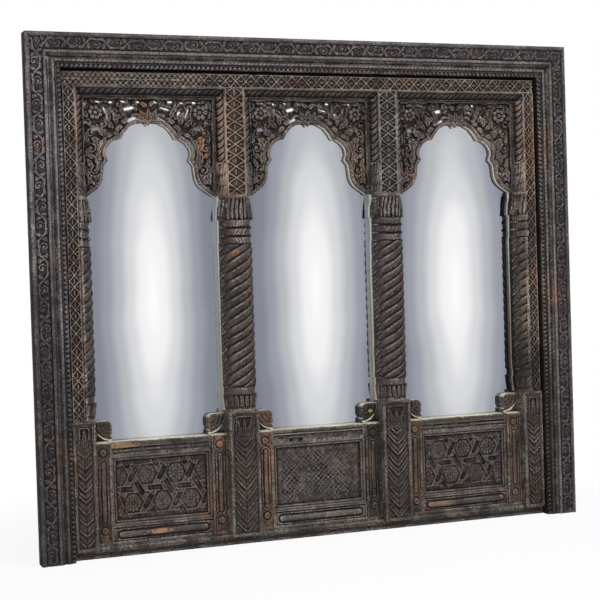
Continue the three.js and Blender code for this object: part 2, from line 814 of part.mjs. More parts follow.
// A revolved screw that lies along +Y with its head at the back, grown all round for its hole
function screw([x, z], grow) {
  const [head, shank] = [screwHeadRadius + grow, screwShankRadius + grow];
  const back = depth + (grow > 0 ? cutOver : 0);
  const neck = depth - screwHeadDepth;
  const tip = depth - screwLength - grow;
  const profile = [[0, tip], [shank, tip], [shank, neck], [head, depth - grow]];
  const points = [...profile, [head, back], [0, back]];
  const kept = grow > 0 ? points : [...profile, [0, depth]];
  const geometry = new THREE.LatheGeometry(kept.map(([r, d]) => new THREE.Vector2(r, yAt(d))), roundSides);
  geometry.translate(x, 0, z);
  return solidOf(geometry);
}

function hangerRecess(side) {
  const pocketFace = depth - hangerThickness - seatGap;
  const pocket = plate(hangerOutline(side, seatGap), [pocketFace, depth + cutOver]);
  const reach = keyholeSlotLength + keyholeRadius;
  const wide = keyholeRadius + seatGap;
  const x = side * hangerX;
  const roomZ = [hangerZ - wide, hangerZ + reach];
  const headRoom = block([x - wide, x + wide], [depth - keyholePocket, depth], roomZ);
  return join([pocket, headRoom, ...screwZs.map((z) => screw([side * hangerX, z], seatGap))]);
}

function hangerPlate(side) {
  const body = plate(hangerOutline(side, 0), [depth - hangerThickness, depth]);
  const cutters = [keyhole(side, 0), ...screwZs.map((z) => screw([side * hangerX, z], seatGap))];
  return cutters.reduce((solid, cutter) => solid.subtract(cutter), body);
}

// Assembly
outerBoards();
beadMouldings();
put('lattice_head', latticeHead(), carvedWood);
for (const [name, side] of [['left', -1], ['right', 1]]) {
  put(`lattice_jamb_${name}`, jamb(side), carvedWood);
  put(`lattice_mullion_${name}`, mullion(side), carvedWood);
}

function putAt(name, solid, material, [x, z]) {
  put(name, solid, material);
  group.children.at(-1).position.set(x, 0, z);
}

const sideBayX = mullionX + mullionWidth / 2 + ropeWidth + sideBayWidth / 2;
const bays = [
  { name: 'left', x: -sideBayX, width: sideBayWidth, pattern: hexagonStraps },
  { name: 'middle', x: 0, width: middleBayWidth, pattern: diamondStraps },
  { name: 'right', x: sideBayX, width: sideBayWidth, pattern: hexagonStraps },
];
for (const { name, x, width } of bays) {
  const edge = width / 2 + ropeWidth;
  putAt(`rope_left_of_${name}_bay`, sideRope(1), wornWood, [x - edge, springing + seatGap]);
  putAt(`rope_right_of_${name}_bay`, sideRope(-1), wornWood, [x + edge, springing + seatGap]);
  const head = headRope(edge * 2);
  putAt(`rope_top_of_${name}_bay`, head, wornWood, [x - edge, latticeBase]);
  group.children.at(-1).rotation.y = Math.PI / 2;
  putAt(`spandrel_${name}`, spandrel(width), carvedWood, [x, 0]);
}

putAt('column_middle_left', column(), wornWood, [-mullionX, 0]);
putAt('column_middle_right', column(), wornWood, [mullionX, 0]);
for (const [name, side] of [['left', -1], ['right', 1]]) {
  const centre = side * (jambX - sideColumnWidth + columnWidth / 2);
  putAt(`column_side_${name}`, sideColumn(side), wornWood, [centre, 0]);
}

const sidePedestalWidth = postEdge - sidePostX;
putAt('pedestal_middle_left', pedestal(pedestalWidth), carvedWood, [-mullionX, 0]);
putAt('pedestal_middle_right', pedestal(pedestalWidth), carvedWood, [mullionX, 0]);
putAt('pedestal_side_left', pedestal(sidePedestalWidth), carvedWood, [-(postEdge + sidePostX) / 2, 0]);
putAt('pedestal_side_right', pedestal(sidePedestalWidth), carvedWood, [(postEdge + sidePostX) / 2, 0]);

const unitStart = mullionX + pedestalWidth / 2;
const sideUnitHalf = (sidePostX - unitStart) / 2;
const units = [
  { name: 'left', x: -(sidePostX + unitStart) / 2, half: sideUnitHalf, pattern: hexagonStraps },
  { name: 'middle', x: 0, half: mullionX - pedestalWidth / 2, pattern: diamondStraps },
  { name: 'right', x: (sidePostX + unitStart) / 2, half: sideUnitHalf, pattern: hexagonStraps },
];
const bottomRailZ = [unitBase + seatGap, unitBase + bottomRailHeight];
for (const { name, x, half, pattern } of units) {
  putAt(`stile_left_${name}_bay`, stile(half, -1), wornWood, [x, 0]);
  putAt(`stile_right_${name}_bay`, stile(half, 1), wornWood, [x, 0]);
  putAt(`top_rail_${name}_bay`, reededRail(half, [unitTop - topRailHeight, unitTop]), wornWood, [x, 0]);
  putAt(`bottom_rail_${name}_bay`, barredRail(half, bottomRailZ), wornWood, [x, 0]);
  putAt(`carved_panel_${name}`, carvedPanel(half, pattern), carvedWood, [x, 0]);
}
put('plinth', plinth(units), darkWood);

// Panes stand on a ledge board and meet behind the middle columns
const paneBase = unitTop - paneLap;
const paneEdge = openingX - paneClearance;
const paneZ = [paneBase, openingTop - paneClearance];
const paneSpan = [mirrorSetBack, mirrorBack];
const paneMeet = mullionX - seatGap / 2;
put('mirror_pane_left', block([-paneEdge, -paneMeet - seatGap], paneSpan, paneZ), silveredGlass);
put('mirror_pane_middle', block([-paneMeet, paneMeet], paneSpan, paneZ), silveredGlass);
put('mirror_pane_right', block([paneMeet + seatGap, paneEdge], paneSpan, paneZ), silveredGlass);
const ledgeZ = [plinthHeight + seatGap, paneBase - seatGap];
put('pane_ledge_board', block([-paneEdge, paneEdge], paneSpan, ledgeZ), plainWood);

const backEdge = openingX + backBoardLap - seatGap;
const backZ = [backBoardLift, openingTop + backBoardLap - seatGap];
put('back_board', block([-backEdge, backEdge], [mirrorBack + seatGap, depth], backZ), plainWood);
for (const [name, side] of [['left', -1], ['right', 1]]) {
  put(`hanger_plate_${name}`, hangerPlate(side), steel);
  put(`hanger_screw_lower_${name}`, screw([side * hangerX, screwZs[0]], 0), steel);
  put(`hanger_screw_upper_${name}`, screw([side * hangerX, screwZs[1]], 0), steel);
}

export default group;
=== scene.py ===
# %% [markdown]
# # A carved window front with three mirrors
# The real object is an old carved hardwood window front: three lobed arches on twisted
# columns over three carved panels, inside a broad outer frame, with mirror panes behind.
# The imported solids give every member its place. This lesson carves the fine relief into
# copies of those members, colours them, and sets the camera and the lamps.

# %% Load the fixed frame
import math

import bpy
import numpy as np
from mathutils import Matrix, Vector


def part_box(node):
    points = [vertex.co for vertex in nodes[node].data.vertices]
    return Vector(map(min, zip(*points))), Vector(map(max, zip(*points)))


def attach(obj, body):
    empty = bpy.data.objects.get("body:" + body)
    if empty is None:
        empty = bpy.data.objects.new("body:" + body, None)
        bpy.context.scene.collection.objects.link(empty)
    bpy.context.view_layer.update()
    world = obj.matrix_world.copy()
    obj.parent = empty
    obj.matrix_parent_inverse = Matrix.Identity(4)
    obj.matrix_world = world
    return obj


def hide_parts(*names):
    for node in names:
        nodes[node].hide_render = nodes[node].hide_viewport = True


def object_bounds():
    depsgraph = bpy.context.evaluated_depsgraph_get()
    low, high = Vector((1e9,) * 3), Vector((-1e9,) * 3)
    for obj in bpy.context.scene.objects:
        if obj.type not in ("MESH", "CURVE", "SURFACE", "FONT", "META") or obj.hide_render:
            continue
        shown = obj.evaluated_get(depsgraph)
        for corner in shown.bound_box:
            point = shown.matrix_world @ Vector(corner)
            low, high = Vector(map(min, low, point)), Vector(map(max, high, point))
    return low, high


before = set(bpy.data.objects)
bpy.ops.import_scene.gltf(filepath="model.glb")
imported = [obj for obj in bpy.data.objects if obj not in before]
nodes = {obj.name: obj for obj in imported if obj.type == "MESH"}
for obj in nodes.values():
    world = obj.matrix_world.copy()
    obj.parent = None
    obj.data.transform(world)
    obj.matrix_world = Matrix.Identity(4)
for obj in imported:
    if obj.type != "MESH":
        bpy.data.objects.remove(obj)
cad_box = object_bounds()
MM = 0.001
half_width, top_z = cad_box[1][0] / MM, cad_box[1][2] / MM
front_y = cad_box[0][1]
print("frame, mm:", round(half_width * 2), "x", round(top_z))

# %% [markdown]
# ## Camera first
# The photograph was taken from the left with a long lens. Its place and turn were fitted
# to the corners of the frame, so the camera is written as a position and three angles.
# The sensor is 36 mm wide and the lens 85 mm, and the picture is square.

# %% Camera
YAW, PITCH, ROLL = math.radians(20.978), math.radians(-1.383), math.radians(-1.733)
CAMERA_X, CAMERA_BACK, CAMERA_Z = -1.381, 3.4433, 0.7142
LENS, SENSOR = 85.45, 36


def camera_axes(yaw, pitch, roll):
    """The directions right, up and back of a camera that is turned by three angles."""
    ahead = np.array([math.sin(yaw) * math.cos(pitch), math.cos(yaw) * math.cos(pitch), math.sin(pitch)])
    right = np.array([math.cos(yaw), -math.sin(yaw), 0.0])
    up = np.cross(right, ahead)
    right_turned = math.cos(roll) * right + math.sin(roll) * up
    up_turned = -math.sin(roll) * right + math.cos(roll) * up
    return right_turned, up_turned, -ahead


bpy.ops.object.camera_add()
camera = bpy.context.object
matrix = np.eye(4)
matrix[:3, 0], matrix[:3, 1], matrix[:3, 2] = camera_axes(YAW, PITCH, ROLL)
matrix[:3, 3] = (CAMERA_X, front_y - CAMERA_BACK, CAMERA_Z)
camera.matrix_world = matrix.T.tolist()
camera.data.lens = LENS
camera.data.sensor_width = SENSOR
bpy.context.scene.camera = camera
bpy.context.scene.view_settings.view_transform = "Standard"
print("camera at", [round(v, 3) for v in camera.location])

# %% [markdown]
# ## Making a blank
# Every carved member starts as a board, as on the bench. A grid primitive gives the face
# its carvable points, and the edge of the face is extruded back and filled, so that the
# board is one closed solid. Set-backs are millimetres behind the front of the frame.


# %% Blank boards
LEVEL_BLUR = 6


def y_at(set_back):
    return front_y + set_back * MM


def box_mm(node):
    """The x, set-back and z spans of a solid of the frame, in millimetres."""
    low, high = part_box(node)
    spans = [(low[i] / MM, high[i] / MM) for i in range(3)]
    shift = front_y / MM
    return spans[0], (spans[1][0] - shift, spans[1][1] - shift), spans[2]


def points_of(piece):
    flat = np.empty(len(piece.data.vertices) * 3)
    piece.data.vertices.foreach_get("co", flat)
    return flat.reshape(-1, 3)


def set_points(piece, points):
    piece.data.vertices.foreach_set("co", points.ravel())
    piece.data.update()


def face_grid(name, xs, zs, front, cell):
    """A flat face of square cells that looks towards -Y."""
    bpy.ops.object.select_all(action="DESELECT")
    size = (xs[1] - xs[0], zs[1] - zs[0])
    bpy.ops.mesh.primitive_grid_add(
        x_subdivisions=max(2, round(size[0] / cell)), y_subdivisions=max(2, round(size[1] / cell)), size=1,
        location=(sum(xs) / 2 * MM, y_at(front), sum(zs) / 2 * MM), rotation=(math.pi / 2, 0, 0))
    piece = bpy.context.object
    piece.scale = (size[0] * MM, size[1] * MM, 1)
    piece.name = piece.data.name = name
    bpy.ops.object.transform_apply(location=True, rotation=True, scale=True)
    return piece


def close_back(thickness):
    """Extrudes the rim of the face in hand back and fills it."""
    bpy.ops.object.mode_set(mode="EDIT")
    bpy.ops.mesh.select_all(action="SELECT")
    bpy.ops.mesh.region_to_loop()
    bpy.ops.mesh.extrude_edges_move(TRANSFORM_OT_translate={"value": (0, thickness * MM, 0)})
    bpy.ops.mesh.edge_face_add()
    bpy.ops.mesh.poke()
    bpy.ops.mesh.select_all(action="SELECT")
    bpy.ops.mesh.normals_make_consistent(inside=False)
    bpy.ops.object.mode_set(mode="OBJECT")


def on_face(points, front):
    """Picks the points that lie on the flat face at a set-back."""
    return np.abs(points[:, 1] - y_at(front)) < MM / 100


def blurred(u, v, heights, size):
    """Heights smoothed over about a size. The points are laid on a raster, where a blur is quick."""
    step = 1.5
    reach = math.ceil(2.5 * size / step)
    i, j = ((u - u.min()) / step).astype(int) + reach, ((v - v.min()) / step).astype(int) + reach
    shape = (i.max() + reach + 1, j.max() + reach + 1)
    kernel = np.exp(-0.5 * (np.arange(-reach, reach + 1) * step / size) ** 2)
    sums = []
    for values in (heights, np.ones_like(heights)):
        layer = np.bincount(i * shape[1] + j, values, shape[0] * shape[1]).reshape(shape)
        for axis in (0, 1):
            layer = np.apply_along_axis(np.convolve, axis, layer, kernel, "same")
        sums.append(layer)
    return (sums[0] / sums[1])[i, j]


def keep_on_mesh(piece, name, values):
    """Stores one number for each point under a name, for the finish to read."""
    layer = piece.data.attributes.new(name, "FLOAT", "POINT")
    layer.data.foreach_set("value", values.astype(np.float32))


def note_level(piece, face, u, v, heights):
    """Keeps on the mesh how far each place lies above or below the ground around it."""
    level = np.zeros(len(piece.data.vertices))
    level[face] = heights - blurred(u, v, heights, LEVEL_BLUR)
    keep_on_mesh(piece, "level", level)


def carve(piece, front, carving):
    """Moves the points of the face out by carving(x, z) millimetres, or in where it is negative."""
    points = points_of(piece)
    face = on_face(points, front)
    x, z = points[face, 0] / MM, points[face, 2] / MM
    heights = carving(x, z)
    points[face, 1] -= heights * MM
    set_points(piece, points)
    note_level(piece, face, x, z, heights)


# %% [markdown]
# ## Cutting shapes out of a board
# Pierced and shaped boards are sawn before they are carved. A sawing line is a function
# that gives the distance to the line, positive in the wood. Cells outside it are deleted,
# and the ragged rim slides onto the line, which leaves a smooth edge from square cells.


# %% Sawing
LEAST_SLOPE, RIM_REACH = 0.25, 1.5


def saw(piece, cell, wood):
    """Deletes the cells outside the line and slides the rim onto it, in three short moves."""
    mesh = piece.data
    centres = np.empty(len(mesh.polygons) * 3)
    mesh.polygons.foreach_get("center", centres)
    centres = centres.reshape(-1, 3) / MM
    bpy.ops.object.mode_set(mode="EDIT")
    bpy.ops.mesh.select_mode(type="FACE")
    bpy.ops.mesh.select_all(action="DESELECT")
    bpy.ops.object.mode_set(mode="OBJECT")
    mesh.polygons.foreach_set("select", wood(centres[:, 0], centres[:, 2]) < 0)
    bpy.ops.object.mode_set(mode="EDIT")
    bpy.ops.mesh.delete(type="FACE")
    bpy.ops.mesh.select_mode(type="VERT")
    bpy.ops.mesh.select_non_manifold(extend=False)
    bpy.ops.object.mode_set(mode="OBJECT")
    rim = np.empty(len(mesh.vertices), dtype=bool)
    mesh.vertices.foreach_get("select", rim)
    points = points_of(piece)
    x, z = points[rim, 0] / MM, points[rim, 2] / MM
    for _ in range(3):
        away = wood(x, z)
        small = cell / 20
        slope_x = (wood(x + small, z) - wood(x - small, z)) / (2 * small)
        slope_z = (wood(x, z + small) - wood(x, z - small)) / (2 * small)
        steep = np.maximum(slope_x ** 2 + slope_z ** 2, LEAST_SLOPE)
        near = np.abs(away) < cell * RIM_REACH
        x, z = x - near * away * slope_x / steep, z - near * away * slope_z / steep
    points[rim, 0], points[rim, 2] = x * MM, z * MM
    set_points(piece, points)


def close_sawn_back(thickness):
    """A pierced face has many rims, so the whole face in hand is extruded back."""
    bpy.ops.object.mode_set(mode="EDIT")
    bpy.ops.mesh.select_mode(type="FACE")
    bpy.ops.mesh.select_all(action="SELECT")
    bpy.ops.mesh.extrude_region_move(TRANSFORM_OT_translate={"value": (0, thickness * MM, 0)})
    bpy.ops.mesh.select_all(action="SELECT")
    bpy.ops.mesh.normals_make_consistent(inside=False)
    bpy.ops.mesh.select_mode(type="VERT")
    bpy.ops.object.mode_set(mode="OBJECT")


# %% [markdown]
# ## Chisel strokes as formulas
# Low relief is a height for each place on the board. These few helpers are the chisels:
# a round ridge, a narrow line, a soft step, a moulding's section, leaves and a spiral. Hand
# work is never even, so a smooth seeded noise bends the lines and dents the wood.


# %% Chisels
NOISE_SIDE, SEED_SPAN = 64, 9973


def ridge(distance, half, height):
    """A ridge with a round section."""
    return height * np.sqrt(np.clip(1 - (distance / half) ** 2, 0, 1))


def narrow_line(distance, half, height):
    """A narrow line with soft sides: an edge where it is added, a groove where it is taken away."""
    return height * np.exp(-(distance / half) ** 2)


def soft_step(value, edge, soft):
    """Rises smoothly from 0 to 1 at an edge, over a width."""
    t = np.clip((value - edge) / soft + 0.5, 0, 1)
    return t * t * (3 - 2 * t)


def section(profile, across):
    """The height of a moulding, from a dict of distances across it and heights."""
    return np.interp(across, list(profile), list(profile.values()))


def mottle(x, z, size, seed):
    """Smooth noise from -1 to 1, with features of about the size given. It repeats far out."""
    table = np.random.default_rng(seed % SEED_SPAN).uniform(-1, 1, (NOISE_SIDE, NOISE_SIDE))
    u, v = x / size, z / size
    i, j = np.floor(u).astype(int), np.floor(v).astype(int)
    fu, fv = u - i, v - j
    fu, fv = fu * fu * (3 - 2 * fu), fv * fv * (3 - 2 * fv)

    def row(k):
        line = (i + k) % NOISE_SIDE
        return table[line, j % NOISE_SIDE] * (1 - fv) + table[line, (j + 1) % NOISE_SIDE] * fv

    return row(0) * (1 - fu) + row(1) * fu


def age(x, z, seed, grain="z"):
    """Dents, chisel chatter and raised grain of old wood, in millimetres."""
    dents = 0.45 * mottle(x, z, 37, seed) + 0.3 * mottle(x, z, 8, seed + 1)
    chips = -1.3 * np.clip(mottle(x, z, 11, seed + 2) - 0.62, 0, 1) * 2.6
    along, across = (x, z) if grain == "x" else (z, x)
    fibre = 0.22 * mottle(along / 34, across / 1.9, 1, seed + 3)
    return dents + chips + fibre


def softened(height, level, x, z, seed, least=0.3):
    """Old cuts fill and wear down in places: what lies below the level is less deep there."""
    keep = soft_step(mottle(x, z, 50, seed + 7) + 0.5 * mottle(x, z, 16, seed + 8), 0, 0.9)
    return height - np.minimum(height - level, 0) * (1 - least) * (1 - keep)


def leaf(x, z, at, angle, length, width, height, veins):
    """A pointed leaf that starts at a place and grows along an angle, with a sunk midrib."""
    c, s = math.cos(math.radians(angle)), math.sin(math.radians(angle))
    along = ((x - at[0]) * c + (z - at[1]) * s) / length
    across = (-(x - at[0]) * s + (z - at[1]) * c) / (width / 2)
    shape = np.sin(np.pi * np.clip(along, 0, 1) ** 0.8)
    inside = (along > 0) & (along < 1) & (np.abs(across) < shape)
    level = ridge(across, np.maximum(shape, 0.05), 1)
    rib = narrow_line(across, 0.16, 0.45)
    flute = 0.16 * np.cos(2 * np.pi * veins * (along - np.abs(across) * 0.35))
    return np.where(inside, height * (0.35 + 0.65 * level - rib + flute), 0)


def leaf_spray(x, z, table, height, veins):
    """Leaves over each other, from rows of start x, start z, direction, length and width."""
    return np.maximum.reduce([leaf(x, z, row[:2], *row[2:], height, veins) for row in table])


def spiral(x, z, at, radius, pitch, half, height, way, turn):
    """A coiled tendril. way is 1 or -1 for the way round, and turn is where its arm begins."""
    u, v = (x - at[0]) * way, z - at[1]
    r = np.hypot(u, v)
    arms = r / pitch - (np.arctan2(v, u) + turn) / (2 * np.pi)
    distance = np.abs(arms - np.round(arms)) * pitch
    thin = half * (0.65 + 0.35 * r / radius)
    coil = ridge(distance, np.maximum(thin, 0.1), height) * (r < radius)
    return np.maximum(coil, ridge(r, half * 1.3, height))


# %% [markdown]
# ## Where the wood wears
# Hands and dust reach the high edges first, and soot stays in the hollows. The same map
# also lays painted shade in the hollows and painted glints on the high edges. Each mesh is
# blurred a little, and how far a point stands out of its blurred self is kept on the mesh.
# The finish reads it later, so wear and painted shade follow the carving and not a drawn mask.


# %% Wear and painted shade map
MOST_PROUD, WEAR_AND_SHADE_ROUNDS = 2, 9


def mark_wear_and_shade(piece):
    """Keeps on the mesh how far each point stands out of the blurred mesh, in millimetres."""
    mesh = piece.data
    pairs = np.empty(len(mesh.edges) * 2, dtype=np.int32)
    mesh.edges.foreach_get("vertices", pairs)
    a, b = pairs[0::2], pairs[1::2]
    sharp = points_of(piece) / MM
    count = len(sharp)
    near = np.bincount(a, minlength=count) + np.bincount(b, minlength=count)
    soft = sharp.copy()
    for _ in range(WEAR_AND_SHADE_ROUNDS):
        total = [np.bincount(a, soft[b, k], count) + np.bincount(b, soft[a, k], count) for k in range(3)]
        soft = (soft + np.array(total).T / np.maximum(near, 1)[:, None]) / 2
    normals = np.empty(count * 3, dtype=np.float32)
    mesh.vertex_normals.foreach_get("vector", normals)
    proud = ((sharp - soft) * normals.reshape(-1, 3)).sum(axis=1)
    keep_on_mesh(piece, "proud", np.clip(proud, -MOST_PROUD, MOST_PROUD))


made = []


def settle(piece, slot, *nodes, angle=50):
    """Shades a finished piece, marks where it wears and where painted shade and glints go, and gives it its
    place in the model.
    """
    bpy.ops.object.select_all(action="DESELECT")
    piece.select_set(True)
    bpy.context.view_layer.objects.active = piece
    bpy.ops.object.shade_smooth_by_angle(angle=math.radians(angle))
    mark_wear_and_shade(piece)
    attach(piece, "root")
    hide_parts(*nodes)
    made.append(piece)
    return piece


def carved_board(name, spans, carving, cell=1.6, wood=None):
    """A member from blank to carved board. Its blank reaches the foremost point of the carving."""
    xs, (front, back), zs = spans
    piece = face_grid(name, xs, zs, front, cell)
    if wood is None:
        close_back(back - front)
    else:
        saw(piece, cell, wood)
        close_sawn_back(back - front)
    carve(piece, front, carving)
    return piece


def replace_node(node, slot, carving, cell=1.6, wood=None, front=None, angle=50):
    """Carves a copy of a solid in the solid's own box, and lets it stand for that solid."""
    xs, (box_front, back), zs = box_mm(node)
    spans = (xs, (box_front if front is None else front, back), zs)
    piece = carved_board("carved_" + node, spans, carving, cell, wood)
    return settle(piece, slot, node, angle=angle)


# %% [markdown]
# ## Outer frame
# Two side boards stand under a head board, and a bead moulding runs round inside them.
# All share one profile from the outer edge inwards, and the carving turns at the mitre, so
# one formula serves six pieces: it takes the distance from the outer edge and the run.
# The vine is a flattened wave with a coiled tendril in every bend. Separate strips could be
# modelled and mitred, but one formula keeps the lines running on from piece to piece.

# %% Outer frame
VINE_MIDDLE, VINE_SWING, VINE_PERIOD, VINE_STEM, VINE_BEND = 26, 9.5, 103, 2.5, 1.9
FIELD_LOW, FIELD_HIGH = 11.6, 40.4
ROLL_LOW, ROLL_HIGH, NOTCH_PITCH = 63.5, 71.5, 11
PEARL_MIDDLE, PEARL_PITCH = 80.4, 12
# The height above which the left upright is crisp, and half the width that the beads leave open
FRESH_FROM, opening_x = 690, 665
edge_profile = {
    0: -2.6, 1.5: -0.9, 4: 0, 9: -0.2, 10.4: -1.0, 11.8: -3.1, 39.8: -3.1, 41.2: -4.4, 43: -1.2, 45: -0.2,
    49: 0, 50.6: -1.6, 51.6: -3.6, 55: -4.4, 57.5: -7.6, 60: -10, 62: -9.8, 63.6: -6.6, 66: -4.4, 68.6: -4,
    71: -5.6, 72.4: -8.2, 73.4: -8.8, 74.2: -7.6, 75.4: -7.7, 76.2: -10.3, 85: -10.5,
}
# The small leaves in one bend of the vine as start along and across, turn, length and width
sprigs = [
    (15, -14, 62, 17, 8), (-16, -14.5, 118, 16, 8), (-22, -12, 80, 15, 6), (22, -12, 100, 15, 6),
    (-3, 15.5, 200, 18, 6), (3, 15.5, -20, 18, 6), (-14, 16, 250, 13, 6), (14, 16, -70, 13, 6),
]


def vine(run, across, length):
    """A stem that swings between the fillets, with tendrils and small leaves."""
    period = length / np.round(length / VINE_PERIOD)
    run = run + 4.5 * mottle(run, across, 60, 11) + 1.2 * mottle(run, across, 17, 13)
    across = across + 1.6 * mottle(run, across, 45, 12) + 0.8 * mottle(run, across, 15, 14)

    def wave(s):
        return VINE_SWING * np.tanh(VINE_BEND * np.sin(2 * np.pi * s / period)) / np.tanh(VINE_BEND)

    slope = wave(run + 0.5) - wave(run - 0.5)
    stem = ridge(np.abs(across - wave(run)) / np.sqrt(1 + slope ** 2), VINE_STEM, 3.4)
    half_turn = np.floor(run / period * 2)
    u = run - (half_turn + 0.5) * period / 2
    v = across * np.where(half_turn % 2 == 0, 1, -1)
    coil = spiral(u, v, (1.5, -4.2), 10.5, 7.2, 2.0, 3.1, way=1, turn=1.2)
    return np.maximum.reduce([stem, coil, leaf_spray(u, v, sprigs, 3.0, 2)])


def surround_carving(x, z):
    from_top, from_side = top_z - z, half_width - np.abs(x)
    on_top = from_top < from_side
    across = np.where(on_top, from_top, from_side)
    run = np.where(on_top, x + half_width, z)
    length = np.where(on_top, half_width * 2, top_z)
    height = section(edge_profile, across)
    # The vine is worn flatter in some stretches, and it is crispest high on the left upright
    field = (across > FIELD_LOW) & (across < FIELD_HIGH)
    crisp = 0.62 + 0.26 * soft_step(mottle(x, z, 210, 24), 0, 1)
    crisp = crisp + 0.25 * (x < 0) * ~on_top * soft_step(z, FRESH_FROM, 120)
    height = height + np.where(field, vine(run, across - VINE_MIDDLE, length) * crisp, 0)
    # Slanted notches across the roll, nearly worn away on the left
    notch = np.abs((run / NOTCH_PITCH + across / 16) % 1 - 0.5) * NOTCH_PITCH
    roll = soft_step(across, ROLL_LOW, 1) * (1 - soft_step(across, ROLL_HIGH, 1))
    height = height - narrow_line(notch, 1.3, np.where(x < -opening_x, 0.5, 1.5)) * roll
    # The row of pearls, and the mitre as a fine line
    pearl = np.hypot(((run / PEARL_PITCH) % 1 - 0.5) * PEARL_PITCH, across - PEARL_MIDDLE)
    fresh = 0.55 + 0.45 * soft_step(mottle(run, across, 240, 23), 0, 1)
    height = height + ridge(pearl, 5.0, 5.4) * fresh
    height = height - narrow_line(from_top - from_side, 0.9, 0.9)
    top_grain, side_grain = age(x, z, 21, "x"), age(x, z, 22, "z")
    return np.minimum(height + np.where(on_top, top_grain, side_grain) * 0.8, 0)


for side in ("top", "left", "right"):
    replace_node(f"outer_board_{side}", "dark_wood", surround_carving, cell=1.7)
    replace_node(f"bead_moulding_{side}", "worn_wood", surround_carving, cell=1.35, front=0)
print("outer frame:", len(made), "pieces")

# %% [markdown]
# ## Lattice members
# Between the beads and the arches run bands that are chip carved: short cuts leave crossing
# straps and small dark pits. A channel parts the band from the bead, and only at the left
# jamb is it shallow. A picture of the cuts would lie flat under the lamps, so they are real
# depth: each place takes the highest of the straps and leaves around it.

# %% Chip-carved pattern
HEAD_PITCH, POST_PITCH, LATTICE_DEPTH, FILLET = 28, 29, 5, 3
GAP_WIDTH, GAP_DEPTH, SHALLOW_GAP = 3.5, 20, 5
# Set-backs of the front and the back of the carved members inside the beads
CARVED_FRONT, CARVED_BACK = 22, 75.7


def lens(u, v, half_u, half_v, height):
    """A low dome with an oval outline."""
    return height * np.sqrt(np.clip(1 - (u / half_u) ** 2 - (v / half_v) ** 2, 0, 1))


def lattice(run, across, width, pitch, seed):
    """Crossing straps, with a small leaf left standing in each of the dark pits between them."""
    run = run + 1.2 * mottle(run, across, 28, seed) + 0.5 * mottle(run, across, 9, seed + 2)
    across = across + 0.7 * mottle(run, across, 23, seed + 1)
    half = width / 2 - FILLET
    u = np.abs((run / pitch) % 1 - 0.5) * pitch
    v = np.abs(across)
    slant = math.atan2(half, pitch / 2)
    straps = ridge(u * math.sin(slant) - v * math.cos(slant), 2.0, 4.6)
    beside = lens(u - pitch / 2, v, pitch * 0.27, 2.0, 2.8)
    above = lens(u, v - half * 0.72, 1.8, half * 0.3, 2.8)
    corner = lens(u - pitch / 2, v - half, pitch * 0.17, half * 0.26, 3.6)
    fillet = LATTICE_DEPTH * soft_step(v, half, 1.2)
    return np.maximum.reduce([straps, beside, above, corner, fillet]) - LATTICE_DEPTH


# %% [markdown]
# ## Rear bars
# Behind the carving, the head and the jambs are thick bars of plain sawn timber with a rebate
# that holds the panes and the back. A cube primitive is set to the bar's size, bisected where
# the rebate ends, and the strip outside it is extruded back to the wall. A boolean would do
# the same, but it leaves long thin triangles.


# %% Rear bars
REAR_FRONT, REBATE_BACK, WALL = 45.3, 81.0, 90.0
REBATE_LAP, REAR_WIDTH = 25, 50


def block_piece(name, xs, setbacks, zs):
    """A cube primitive at its size and place, as a start for a plain member."""
    bpy.ops.object.select_all(action="DESELECT")
    centre = (sum(xs) / 2 * MM, y_at(sum(setbacks) / 2), sum(zs) / 2 * MM)
    size = ((xs[1] - xs[0]) * MM, (setbacks[1] - setbacks[0]) * MM, (zs[1] - zs[0]) * MM)
    bpy.ops.mesh.primitive_cube_add(size=1, location=centre)
    piece = bpy.context.object
    piece.scale = size
    piece.name = piece.data.name = name
    bpy.ops.object.transform_apply(location=True, rotation=True, scale=True)
    return piece


def cut_across(axis, place):
    """Bisects the whole mesh in edit mode, at a place along one axis in metres."""
    bpy.ops.mesh.select_all(action="SELECT")
    normal, at = [0, 0, 0], [0, 0, 0]
    normal[axis], at[axis] = 1, place
    bpy.ops.mesh.bisect(plane_co=at, plane_no=normal)


def push_back_faces(piece, at, inside, travel):
    """Extrudes the faces that lie at a set-back and inside an x, z test, by a travel along Y."""
    bpy.ops.mesh.select_mode(type="FACE")
    bpy.ops.mesh.select_all(action="DESELECT")
    bpy.ops.object.mode_set(mode="OBJECT")
    for face in piece.data.polygons:
        centre = face.center
        flat = abs(face.normal.y) > 0.9 and abs(centre.y - y_at(at)) < MM / 10
        face.select = bool(flat and inside(centre.x / MM, centre.z / MM))
    bpy.ops.object.mode_set(mode="EDIT")
    bpy.ops.mesh.extrude_region_move(TRANSFORM_OT_translate={"value": (0, travel * MM, 0)})


def join_into(piece, *others):
    bpy.ops.object.select_all(action="DESELECT")
    for other in others:
        other.select_set(True)
    piece.select_set(True)
    bpy.context.view_layer.objects.active = piece
    bpy.ops.object.join()
    return piece


def rear_bar(name, xs, zs, rebate_edge, along_x):
    """A bar with a rebate at its back. What lies outside the rebate's edge reaches the wall."""

    def outside(x, z):
        return z > rebate_edge if along_x else abs(x) > abs(rebate_edge)

    piece = block_piece(name, xs, (REAR_FRONT, REBATE_BACK), zs)
    bpy.ops.object.mode_set(mode="EDIT")
    cut_across(2 if along_x else 0, rebate_edge * MM)
    push_back_faces(piece, REBATE_BACK, outside, WALL - REBATE_BACK)
    bpy.ops.object.mode_set(mode="OBJECT")
    return piece


# %% [markdown]
# ## Lattice head
# The head lies across all three bays. Its carved band, its rear bar and a thin neck between
# them are one length of wood, so the three meshes are joined into one piece. The neck is set
# back by the width of the shadow gap round the band.

# %% Lattice head
opening_top, lattice_base = 1215, 1173
shadow_gap, SEAM, OVERLAP = 3, 0.3, 1
head_edge, head_top = opening_x - shadow_gap, opening_top - shadow_gap
head_width = head_top - lattice_base
FINE_END = -300


